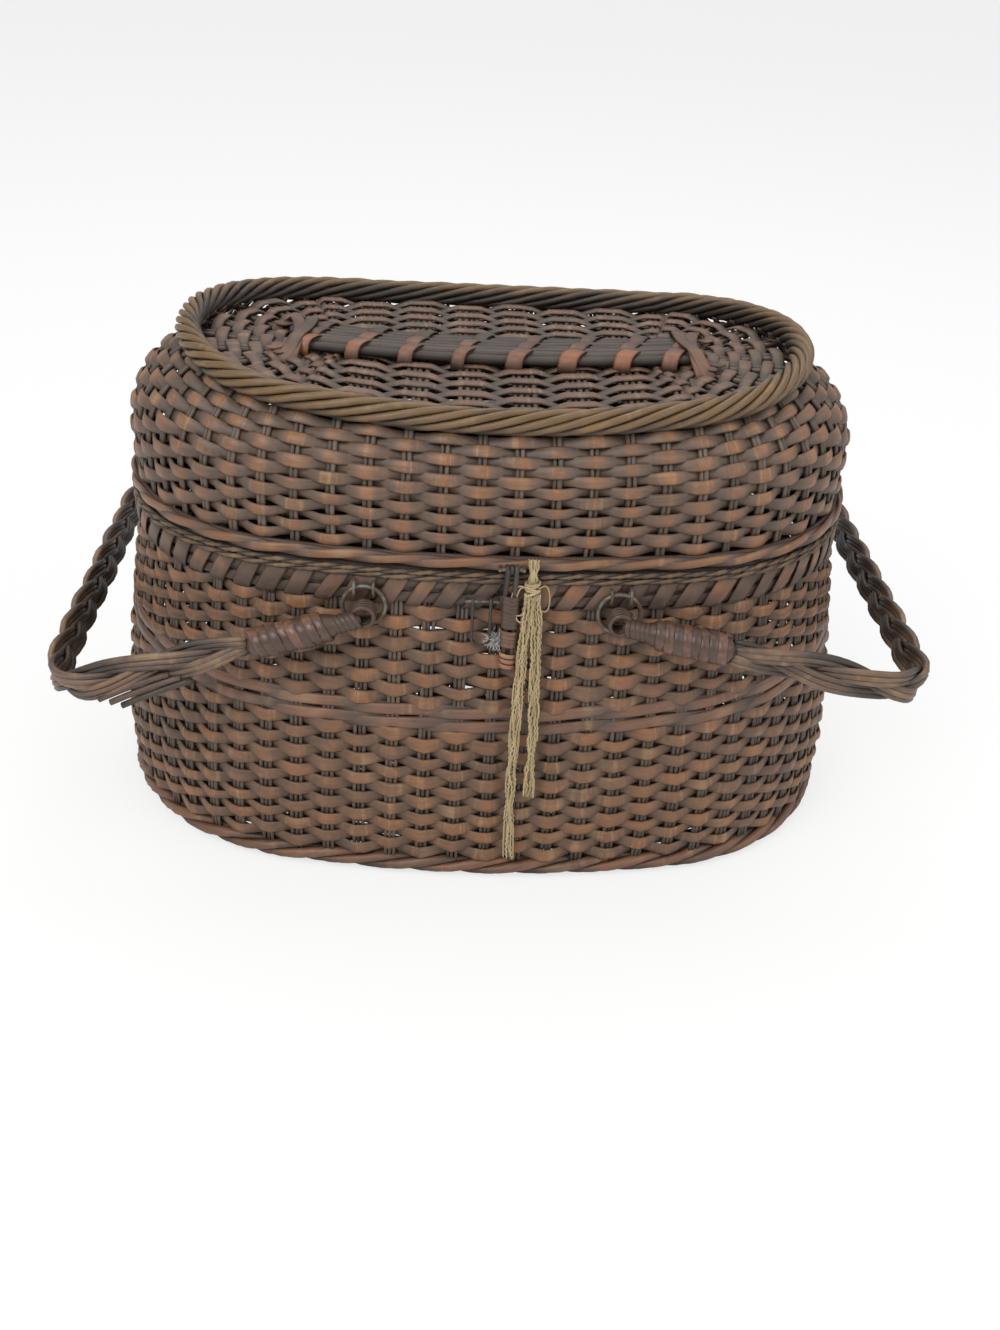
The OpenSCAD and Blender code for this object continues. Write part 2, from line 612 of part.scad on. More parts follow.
// Wrapped end: cane wound over the strands, with the eye that turns inside the wire ring
module handle_end() {
    coils = 7;
    edge = [for (i = [0:2 * coils]) [wrap_d / 2 - (i == 0 ? 1.8 : i % 2 == 0 ? 0.9 : 0), wrap_r0 + wrap_l * i / (2 * coils)]];
    tip = [for (i = [0:5]) [neck_r * sin(18 * i), 1 - neck_r * cos(18 * i)]];
    rotate([0, 90, 0]) rotate_extrude($fn = 48) polygon(concat(tip, [[neck_r, wrap_r0 - 1]], edge,
        [[wrap_d / 2 - 3, wrap_r0 + 0.8 + wrap_l], [0, wrap_r0 + 0.8 + wrap_l]]));
}
module handle_ends() {
    hub_in = arm_y - ring_y + 0.8;
    for (s = [-1, 1]) translate([0, s * arm_y, 0]) {
        handle_end();
        rotate([s * 90, 0, 0]) cylinder(r = hub_r, h = hub_in, $fn = 48);
    }
}
module left_place() {
    translate([-pivot_x, 0, pivot_z]) rotate([0, 180 - left_droop, 0]) children();
}
module right_place() {
    translate([pivot_x, 0, pivot_z]) rotate([0, right_droop, 0]) children();
}
module left_handle_braid() {
    color("#54402f") left_place() braid();
}
module left_handle_ends() {
    color("#7a4a34") left_place() handle_ends();
}
module right_handle_braid() {
    color("#54402f") right_place() braid();
}
module right_handle_ends() {
    color("#7a4a34") right_place() handle_ends();
}

// Hasp and keeper loop
hasp_bore = hasp_pin_d + 2 * pin_play;
leg_d = 2.6;
leg_x = hasp_w / 2 - leg_d / 2 - 0.25;
leg_y = 1.8;
module hasp_loop() {
    color("#4c3123") translate([hasp_x, -hasp_y, hasp_z]) difference() {
        union() {
            translate([-hasp_w / 2, 0, 0]) rotate([0, 90, 0]) cylinder(d = 5, h = hasp_w, $fn = 40);
            for (s = [-1, 1]) translate([s * leg_x, -leg_y, -hasp_l + leg_x]) cylinder(d = leg_d, h = hasp_l - leg_x - 1.5, $fn = 24);
            translate([0, -leg_y, -hasp_l + leg_x]) rotate([90, 0, 0]) rotate([0, 0, 180])
                rotate_extrude(angle = 180, $fn = 48) translate([leg_x, 0]) circle(d = leg_d, $fn = 24);
        }
        translate([-hasp_w, 0, 0]) rotate([0, 90, 0]) cylinder(d = hasp_bore, h = 2 * hasp_w, $fn = 40);
    }
}
module hasp_wraps() {
    color("#8c5a3a") translate([hasp_x, -hasp_y - leg_y, hasp_z]) for (i = [0:5]) {
        z = -hasp_l + leg_x + 2 + i * 7;
        difference() {
            translate([-hasp_w / 2 - 0.4, -leg_d / 2 - 0.5, z]) cube([hasp_w + 0.8, leg_d + 1, 4.5]);
            for (s = [-1, 1]) translate([s * leg_x, 0, z - 1]) cylinder(d = leg_d + 0.2, h = 7, $fn = 24);
        }
    }
}
module keeper_loop() {
    half = keeper_w / 2 - keeper_wire_d / 2;
    color("#3c2a20") translate([keeper_x, -keeper_y, keeper_z]) difference() {
        union() {
            for (s = [-1, 1]) {
                translate([s * half - keeper_wire_d / 2, 0, 0]) rotate([0, 90, 0])
                    cylinder(d = 3.6, h = keeper_wire_d, $fn = 32);
                translate([s * half, 0, -keeper_l + half]) cylinder(d = keeper_wire_d, h = keeper_l - half - 1.2, $fn = 20);
            }
            translate([0, 0, -keeper_l + half]) rotate([90, 0, 0]) rotate([0, 0, 180])
                rotate_extrude(angle = 180, $fn = 48) translate([half, 0]) circle(d = keeper_wire_d, $fn = 20);
        }
        translate([-keeper_w, 0, 0]) rotate([0, 90, 0])
            cylinder(d = keeper_pin_d + 2 * pin_play, h = 2 * keeper_w, $fn = 32);
    }
}

foot_hoop();
foot_border();
base_long_sticks();
base_weave();
base_cross_sticks();
body_stakes();
lower_weave();
mid_wale();
upper_weave();
rim_hoop();
rim_lashing();
rim_cord();
hinge_loops();
handle_rings();
handle_staples();
keeper_pin();
frayed_tuft();
lid_band();
lid_weave();
lid_stakes();
top_border();
top_weave();
ridge_sticks();
ridge_cross_sticks();
ridge_straps();
ridge_end_ties();
hasp_pin();
string_knot();
string_left_tail();
string_right_tail();
left_handle_braid();
left_handle_ends();
right_handle_braid();
right_handle_ends();
hasp_loop();
hasp_wraps();
keeper_loop();
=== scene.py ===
"""Old oval wicker creel, dressed: woven walls, twisted borders, ridge, plaited bails and latch."""
import logging
import math
from dataclasses import dataclass
from enum import Enum

import bpy
import numpy as np
from mathutils import Matrix


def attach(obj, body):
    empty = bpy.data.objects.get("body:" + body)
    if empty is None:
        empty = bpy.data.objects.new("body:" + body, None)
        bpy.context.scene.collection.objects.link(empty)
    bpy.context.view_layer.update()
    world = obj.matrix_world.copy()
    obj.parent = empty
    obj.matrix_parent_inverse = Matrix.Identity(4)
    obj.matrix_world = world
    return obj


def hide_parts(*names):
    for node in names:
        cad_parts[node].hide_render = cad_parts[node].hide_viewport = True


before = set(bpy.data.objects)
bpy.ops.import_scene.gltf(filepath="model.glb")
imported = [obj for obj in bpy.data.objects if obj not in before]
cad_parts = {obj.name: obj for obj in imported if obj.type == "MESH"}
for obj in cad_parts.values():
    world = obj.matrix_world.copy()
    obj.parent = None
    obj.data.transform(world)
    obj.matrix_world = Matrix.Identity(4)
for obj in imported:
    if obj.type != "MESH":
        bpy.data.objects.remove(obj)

log = logging.getLogger("creel")
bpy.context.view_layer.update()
RGB = tuple[float, float, float]
TURN = 2 * math.pi
UP = np.array([0.0, 0.0, 1.0])
TIP_SHARE = 0.55


# Small helpers


def tint(red: float, green: float, blue: float) -> RGB:
    """Turn a colour in 0 to 255 steps into the linear colour that shaders use.

    Args:
        red: red share.
        green: green share.
        blue: blue share.

    Returns:
        The linear colour.
    """
    parts = [value / 255 for value in (red, green, blue)]
    return tuple(p / 12.92 if p <= 0.04045 else ((p + 0.055) / 1.055) ** 2.4 for p in parts)


def ease(value: np.ndarray, start: float, end: float) -> np.ndarray:
    """Rise smoothly from 0 at start to 1 at end.

    Args:
        value: where to look.
        start: the place of 0.
        end: the place of 1.

    Returns:
        The eased share for each value.
    """
    t = np.clip((np.asarray(value, float) - start) / (end - start), 0, 1)
    return t * t * (3 - 2 * t)


def wander(rng: np.random.Generator, share: np.ndarray, low: int = 1, count: int = 6) -> np.ndarray:
    """Smooth closed noise of about unit height along a strand.

    Args:
        rng: seeded source.
        share: place along the strand, 0 to 1.
        low: fewest waves in the whole length.
        count: how many wave lengths are mixed.

    Returns:
        One height per place.
    """
    total = np.zeros_like(share)
    for waves in range(low, low + count):
        total += rng.normal() * np.sin(TURN * (waves * share + rng.random()))
    return total / math.sqrt(count)


def unit(rows: np.ndarray) -> np.ndarray:
    """Scale each row to length one."""
    return rows / np.maximum(np.linalg.norm(rows, axis=-1, keepdims=True), 1e-12)


def column(values: np.ndarray | float, count: int) -> np.ndarray:
    """Give one value per ring, from an array or a single number."""
    return np.broadcast_to(np.asarray(values, float), (count,)).copy()


def deselect() -> None:
    """Clear the selection."""
    for other in bpy.context.selected_objects:
        other.select_set(False)


def linked(name: str, data: bpy.types.ID) -> bpy.types.Object:
    """Make an object of some data and put it in the scene."""
    made = bpy.data.objects.new(name, data)
    bpy.context.scene.collection.objects.link(made)
    return made


def aim(
    one: bpy.types.Object, right: np.ndarray, up: np.ndarray, back: np.ndarray, place: np.ndarray
) -> None:
    """Turn a camera or lamp so that it looks away from back, and put it in its place.

    Args:
        one: the camera or lamp.
        right: its rightward direction.
        up: its upward direction.
        back: the direction behind it.
        place: where it stands.
    """
    matrix = np.eye(4)
    matrix[:3] = np.column_stack([right, up, back, place])
    one.matrix_world = Matrix(matrix.tolist())


def around(count: int) -> np.ndarray:
    """Even places round a closed line, from 0 up to 1."""
    return np.arange(count) / count


def ring_about_x(count: int, radius: float, centre: tuple[float, ...] = (0.0, 0.0, 0.0)) -> np.ndarray:
    """Points of a ring round a line along X."""
    angle = around(count) * TURN
    ring = np.stack([np.zeros(count), np.cos(angle) * radius, np.sin(angle) * radius], -1)
    return ring + np.array(centre)


def mottled(
    rng: np.random.Generator, share: np.ndarray, low: int, count: int, depth: float = 0.5
) -> np.ndarray:
    """Noise along a strand that is kept between 0 and 1.

    Args:
        rng: seeded source.
        share: place along the strand, 0 to 1.
        low: fewest waves in the whole length.
        count: how many wave lengths are mixed.
        depth: how far it moves from the middle.

    Returns:
        One share per place.
    """
    return np.clip(0.5 + depth * wander(rng, share, low, count), 0, 1)


def joined(name: str, parts: list[bpy.types.Object]) -> bpy.types.Object:
    """Join strands into one piece.

    Args:
        name: name of the piece.
        parts: its strands.

    Returns:
        The joined object.
    """
    deselect()
    for one in parts:
        one.select_set(True)
    bpy.context.view_layer.objects.active = parts[0]
    if len(parts) > 1:
        bpy.ops.object.join()
    whole = bpy.context.view_layer.objects.active
    whole.name = whole.data.name = name
    return whole


# Strands


class Stock:
    """A plain rod or ring, modelled once, from which every strand of that kind is copied."""

    made: dict[tuple[int, int, bool], "Stock"] = {}

    def __init__(self, rings: int, sides: int, closed: bool) -> None:
        """Model the stock.

        Args:
            rings: how many rings of vertices lie along it.
            sides: how many vertices each ring has.
            closed: a ring where true, a rod with two ends where false.
        """
        deselect()
        if closed:
            bpy.ops.mesh.primitive_torus_add(
                major_segments=rings, minor_segments=sides, major_radius=1, minor_radius=0.3,
                generate_uvs=False,
            )
        else:
            bpy.ops.mesh.primitive_cylinder_add(vertices=sides, radius=1, depth=rings - 1, calc_uvs=False)
            self._divide(rings)
        bpy.ops.object.shade_smooth()
        made = bpy.context.view_layer.objects.active
        flat = np.empty(len(made.data.vertices) * 3)
        made.data.vertices.foreach_get("co", flat)
        x, y, z = flat.reshape(-1, 3).T
        if closed:
            self.ring = np.rint(np.arctan2(y, x) / TURN * rings).astype(int) % rings
            self.angle = -np.arctan2(z, np.hypot(x, y) - 1)
        else:
            self.ring = np.rint(z + (rings - 1) / 2).astype(int)
            self.angle = np.arctan2(y, x)
        self.mesh = made.data
        self.mesh.use_fake_user = True
        bpy.data.objects.remove(made)

    @staticmethod
    def _divide(rings: int) -> None:
        """Cut the long edges of the active rod into its rings."""
        mesh = bpy.context.view_layer.objects.active.data
        bpy.ops.object.mode_set(mode="EDIT")
        bpy.ops.mesh.select_mode(type="EDGE")
        bpy.ops.mesh.select_all(action="DESELECT")
        bpy.ops.object.mode_set(mode="OBJECT")
        for edge in mesh.edges:
            a, b = (mesh.vertices[i].co.z for i in edge.vertices)
            edge.select = abs(a - b) > 0.5
        bpy.ops.object.mode_set(mode="EDIT")
        if rings > 2:
            bpy.ops.mesh.subdivide(number_cuts=rings - 2)
        bpy.ops.object.mode_set(mode="OBJECT")

    @classmethod
    def of(cls, rings: int, sides: int, closed: bool) -> "Stock":
        """Fetch the stock of this size, modelling it the first time."""
        key = (rings, sides, closed)
        if key not in cls.made:
            cls.made[key] = cls(rings, sides, closed)
        return cls.made[key]

    @classmethod
    def clear(cls) -> None:
        """Drop the stock meshes once every strand is laid."""
        for stock in cls.made.values():
            bpy.data.meshes.remove(stock.mesh)
        cls.made.clear()


def strand(
    path: np.ndarray,
    wide_way: np.ndarray,
    wide: np.ndarray | float,
    thick: np.ndarray | float,
    closed: bool = False,
    sides: int = 8,
    lift: np.ndarray | float = 0.5,
    tone: np.ndarray | float = 0.5,
    square: float = 1.0,
    round_ends: bool = True,
    relief: float = 0.0,
) -> bpy.types.Object:
    """Copy the stock and lay it along a path.

    Args:
        path: one point per ring.
        wide_way: direction of the section's width at each ring.
        wide: half width at each ring.
        thick: half thickness at each ring.
        closed: whether the strand closes on itself.
        sides: vertices round its section.
        lift: how far it stands forward, 0 hidden to 1 on the crest; the willow finishes paint shade where it
            is low and a highlight where it is high.
        tone: random share that tells strands apart.
        square: 1 for a round section, less for a boxy one.
        round_ends: whether an open strand's tips are narrowed.
        relief: how much lighter its outer side is painted than its inner side, a painted highlight.

    Returns:
        The new object, with its place in its mesh.
    """
    path = np.asarray(path, float)
    count = len(path)
    stock = Stock.of(count, sides, closed)
    if closed:
        along = unit(np.roll(path, -1, 0) - np.roll(path, 1, 0))
        steps = np.linalg.norm(path - np.roll(path, 1, 0), axis=1)
        steps[0] = 0
    else:
        along = unit(np.gradient(path, axis=0))
        steps = np.r_[0, np.linalg.norm(np.diff(path, axis=0), axis=1)]
    across = np.broadcast_to(np.asarray(wide_way, float), path.shape)
    across = unit(across - (across * along).sum(1, keepdims=True) * along)
    over = np.cross(along, across)
    wide, thick = column(wide, count), column(thick, count)
    lift, tone = column(lift, count), column(tone, count)
    if not closed and round_ends:
        wide[[0, -1]] *= TIP_SHARE
        thick[[0, -1]] *= TIP_SHARE
    ring, c, s = stock.ring, np.cos(stock.angle), np.sin(stock.angle)
    flat_c, flat_s = np.sign(c) * np.abs(c) ** square, np.sign(s) * np.abs(s) ** square
    place = path[ring] + across[ring] * (wide[ring] * flat_c)[:, None]
    place = place + over[ring] * (thick[ring] * flat_s)[:, None]
    mesh = stock.mesh.copy()
    mesh.vertices.foreach_set("co", place.ravel())
    # relief paints the outer side of the section lighter, a painted highlight, and the inner side darker,
    # painted shade.
    lift, run = lift[ring] + relief * s, np.cumsum(steps)[ring]
    for key, values in {"lift": lift, "tone": tone[ring], "run": run, "edge": c, "face": s}.items():
        mesh.attributes.new(key, "FLOAT", "POINT").data.foreach_set("value", values)
    mesh.update()
    return linked("strand", mesh)


# Plan and profiles


@dataclass(frozen=True)
class OvalPlan:
    """Foot outline seen from above: two end arcs and two long side arcs, walked anticlockwise."""

    half_width: float = 0.127
    end_centre: float = 0.075
    end_radius: float = 0.120
    side_centre: float = 0.39829
    join: float = math.radians(79.34)

    @property
    def side_radius(self) -> float:
        """Radius of the long sides."""
        return self.side_centre + self.half_width

    @property
    def end_length(self) -> float:
        """Length of one end arc."""
        return 2 * self.join * self.end_radius

    @property
    def side_span(self) -> float:
        """Half angle of a long side."""
        return math.pi / 2 - self.join

    @property
    def girth(self) -> float:
        """Length of the whole outline."""
        return 2 * self.end_length + 4 * self.side_span * self.side_radius

    def place(self, share: np.ndarray) -> tuple[np.ndarray, np.ndarray, np.ndarray]:
        """Arc centre, radius and outward angle at shares of the girth.

        Args:
            share: place round the outline, from the front end of the right arc.

        Returns:
            Centres, radii and angles.
        """
        run = (np.asarray(share, float) % 1.0) * self.girth
        side = 2 * self.side_span * self.side_radius
        e, s = self.end_length, side
        kind = np.searchsorted(np.array([e, e + s, 2 * e + s]), run, side="right")
        cx = np.choose(kind, [self.end_centre, 0.0, -self.end_centre, 0.0])
        cy = np.choose(kind, [0.0, -self.side_centre, 0.0, self.side_centre])
        radius = np.choose(kind, [self.end_radius, self.side_radius, self.end_radius, self.side_radius])
        start = np.choose(kind, [0.0, e, e + s, 2 * e + s])
        first = np.choose(kind, [-self.join, self.join, math.pi - self.join, math.pi + self.join])
        angle = first + (run - start) / radius
        return np.stack([cx, cy], -1), radius, angle

    def out(self, share: np.ndarray) -> np.ndarray:
        """Outward level direction at shares of the girth."""
        _, _, angle = self.place(share)
        return np.stack([np.cos(angle), np.sin(angle), np.zeros_like(angle)], -1)

    def point(self, share: np.ndarray, inset: np.ndarray | float, z: np.ndarray | float) -> np.ndarray:
        """Point of the outline moved inward by inset and up to z.

        Args:
            share: place round the outline.
            inset: distance inside the outline.
            z: height.

        Returns:
            One point per share.
        """
        centre, radius, angle = self.place(share)
        reach = radius - inset
        x, y = centre[..., 0] + reach * np.cos(angle), centre[..., 1] + reach * np.sin(angle)
        return np.stack([x, y, np.broadcast_to(z, angle.shape)], -1)

    def x(self, share: np.ndarray, inset: np.ndarray | float) -> np.ndarray:
        """Sideways place of the outline moved inward by inset."""
        return self.point(share, inset, 0.0)[:, 0]

    def share_at(self, x: float, inset: float, back: bool) -> float:
        """Share of the girth where a long side, moved inward by inset, crosses x."""
        lean = math.asin(x / (self.side_radius - inset))
        side = 2 * self.side_span * self.side_radius
        if back:
            return (self.end_length + (self.side_span - lean) * self.side_radius) / self.girth
        return (2 * self.end_length + side + (self.side_span + lean) * self.side_radius) / self.girth

    def share_of_end(self, angle: float, left: bool) -> float:
        """Share of the girth at an angle of an end arc, counted from its middle."""
        start = self.end_length + 2 * self.side_span * self.side_radius if left else 0.0
        return (start + (self.join + angle) * self.end_radius) / self.girth

    def side_y(self, x: np.ndarray | float, inset: float) -> np.ndarray | float:
        """Distance of a long side from the middle line at x."""
        return np.sqrt((self.side_radius - inset) ** 2 - np.square(x)) - self.side_centre


PLAN = OvalPlan()


def saddle(x: np.ndarray | float, middle: float, radius: float) -> np.ndarray | float:
    """Height of a shallow arc that rises towards both ends."""
    return middle + radius - np.sqrt(radius**2 - np.square(x))


@dataclass(frozen=True)
class WallProfile:
    """Outer inset of a wall against height."""

    heights: tuple[float, ...]
    insets: tuple[float, ...]
    smooth: float = 0.004

    def curve(self) -> tuple[np.ndarray, np.ndarray, np.ndarray]:
        """Fine heights, insets and run lengths up the wall."""
        z = np.linspace(self.heights[0], self.heights[-1], 600)
        inset = np.interp(z, self.heights, self.insets)
        window = max(3, int(self.smooth / (z[1] - z[0])) | 1)
        padded = np.pad(inset, window // 2, mode="edge")
        inset = np.convolve(padded, np.ones(window) / window, mode="valid")
        run = np.r_[0, np.cumsum(np.hypot(np.diff(z), np.diff(inset)))]
        return z, inset, run

    def at(self, share: float, low: np.ndarray, high: np.ndarray) -> tuple[np.ndarray, ...]:
        """Height, inset and slopes at a share of the way up between two heights.

        Args:
            share: 0 at the low line, 1 at the high line.
            low: lower height for each place.
            high: upper height for each place.

        Returns:
            Heights, insets, rise per length and inset per length.
        """
        z, inset, run = self.curve()
        start, end = np.interp(low, z, run), np.interp(high, z, run)
        s = start + (end - start) * share
        rise, lean = np.gradient(z, run), np.gradient(inset, run)
        return tuple(np.interp(s, run, row) for row in (z, inset, rise, lean))


def wall_frame(share: np.ndarray, depth: float, level: tuple[np.ndarray, ...]) -> tuple[np.ndarray, ...]:
    """Middle points of a wall with its outward and upward directions.

    Args:
        share: places round the oval.
        depth: distance of the middle behind the outer face.
        level: heights, insets and slopes from a profile.

    Returns:
        Points, outward normals and upward directions.
    """
    z, inset, rise, lean = level
    out, up = PLAN.out(share), UP
    normal = out * rise[:, None] + up * lean[:, None]
    climb = up * rise[:, None] - out * lean[:, None]
    return PLAN.point(share, inset, z) - normal * depth, normal, climb


BODY_PROFILE = WallProfile(
    (0.0, 0.0123, 0.03995, 0.092, 0.136, 0.1497, 0.170),
    (0.0025, 0.0015, 0.0, 0.004, 0.00958, 0.012, 0.013),
    0.01,
)
LID_PROFILE = WallProfile(
    (0.170, 0.1901, 0.20484, 0.21824, 0.22829, 0.23633, 0.24504, 0.262),
    (0.0125, 0.0112, 0.0105, 0.0130, 0.0195, 0.0285, 0.0420, 0.066),
    0.012,
)


def wale_z(x: np.ndarray | float) -> np.ndarray | float:
    """Height of the middle of the wale."""
    return saddle(x, 0.092, 1.6637)


def border_z(x: np.ndarray | float) -> np.ndarray | float:
    """Height of the middle of the top border."""
    return saddle(x, 0.237, 1.2058)


BORDER_CUT = 0.006768
BORDER_SEAT = 0.0048
BORDER_PLAN_INSET = 0.0265
PANEL_DROP = 0.004368


def border_inset(x: np.ndarray) -> np.ndarray:
    """Inset of the middle of the top border, which lies on the edge of the lid wall."""
    z = border_z(x) - BORDER_CUT
    return np.interp(z, LID_PROFILE.heights, LID_PROFILE.insets) + BORDER_SEAT


def panel_z(x: np.ndarray | float) -> np.ndarray | float:
    """Height of the upper face of the top panel."""
    return border_z(x) - PANEL_DROP


# Finishes


class Board:
    """Places and links nodes in one shader tree."""

    def __init__(self, tree: bpy.types.NodeTree) -> None:
        """Hold the tree."""
        self.tree = tree

    def add(self, kind: str, **settings: object) -> bpy.types.Node:
        """Add a node and set its plain properties."""
        node = self.tree.nodes.new(kind)
        for key, value in settings.items():
            setattr(node, key, value)
        return node

    def feed(self, socket: bpy.types.NodeSocket, source: object) -> None:
        """Link a socket, or set its value where the source is a number or a colour."""
        if isinstance(source, bpy.types.NodeSocket):
            self.tree.links.new(source, socket)
        elif isinstance(source, tuple) and len(source) == 3 and socket.type == "RGBA":
            socket.default_value = (*source, 1.0)
        else:
            socket.default_value = source

    def math(self, operation: str, *values: object, clamp: bool = False) -> bpy.types.NodeSocket:
        """Add a Math node and return its output."""
        node = self.add("ShaderNodeMath", operation=operation, use_clamp=clamp)
        for socket, value in zip(node.inputs, values):
            self.feed(socket, value)
        return node.outputs[0]

    def vector(self, x: object, y: object, z: object) -> bpy.types.NodeSocket:
        """Combine three values."""
        node = self.add("ShaderNodeCombineXYZ")
        for socket, value in zip(node.inputs, (x, y, z)):
            self.feed(socket, value)
        return node.outputs[0]

    def noise(
        self, at: object, scale: float, detail: float = 3.0, rough: float = 0.55
    ) -> bpy.types.NodeSocket:
        """Add a Noise texture and return its value."""
        node = self.add("ShaderNodeTexNoise")
        self.feed(node.inputs["Vector"], at)
        node.inputs["Scale"].default_value = scale
        node.inputs["Detail"].default_value = detail
        node.inputs["Roughness"].default_value = rough
        return node.outputs["Fac"]

    def ramp(self, value: object, start: float, end: float) -> bpy.types.NodeSocket:
        """Rise smoothly from 0 at start to 1 at end."""
        node = self.add("ShaderNodeMapRange", interpolation_type="SMOOTHSTEP")
        self.feed(node.inputs["Value"], value)
        node.inputs["From Min"].default_value = start
        node.inputs["From Max"].default_value = end
        return node.outputs["Result"]

    def mix(
        self, share: object, first: object, second: object, blend: str = "MIX"
    ) -> bpy.types.NodeSocket:
        """Mix two colours."""
        node = self.add("ShaderNodeMix", data_type="RGBA", blend_type=blend)
        self.feed(node.inputs[0], share)
        self.feed(node.inputs[6], first)
        self.feed(node.inputs[7], second)
        return node.outputs[2]

    def attribute(self, name: str) -> bpy.types.NodeSocket:
        """Read a number kept on the mesh."""
        return self.add("ShaderNodeAttribute", attribute_name=name).outputs["Fac"]

    def group(self, tree: bpy.types.NodeTree, **values: object) -> bpy.types.Node:
        """Place a shared group and feed its inputs by name."""
        node = self.add("ShaderNodeGroup", node_tree=tree)
        for key, value in values.items():
            self.feed(node.inputs[key.replace("_", " ")], value)
        return node


def new_group(name: str, inputs: dict[str, str], outputs: dict[str, str]) -> tuple[Board, dict, dict]:
    """Make an empty shared group.

    Args:
        name: its name.
        inputs: socket names and kinds, float, vector or colour.
        outputs: the same for what it puts out.

    Returns:
        The board, its inputs by name and its output sockets by name.
    """
    kinds = {"float": "NodeSocketFloat", "vector": "NodeSocketVector", "colour": "NodeSocketColor"}
    tree = bpy.data.node_groups.new(name, "ShaderNodeTree")
    for key, kind in inputs.items():
        tree.interface.new_socket(key, in_out="INPUT", socket_type=kinds[kind])
    for key, kind in outputs.items():
        tree.interface.new_socket(key, in_out="OUTPUT", socket_type=kinds[kind])
    board = Board(tree)
    start, end = board.add("NodeGroupInput"), board.add("NodeGroupOutput")
    return board, {key: start.outputs[key] for key in inputs}, {key: end.inputs[key] for key in outputs}


GRAIN = {"Streak": "float", "Patch": "float", "Fibre": "float", "Drift": "float"}


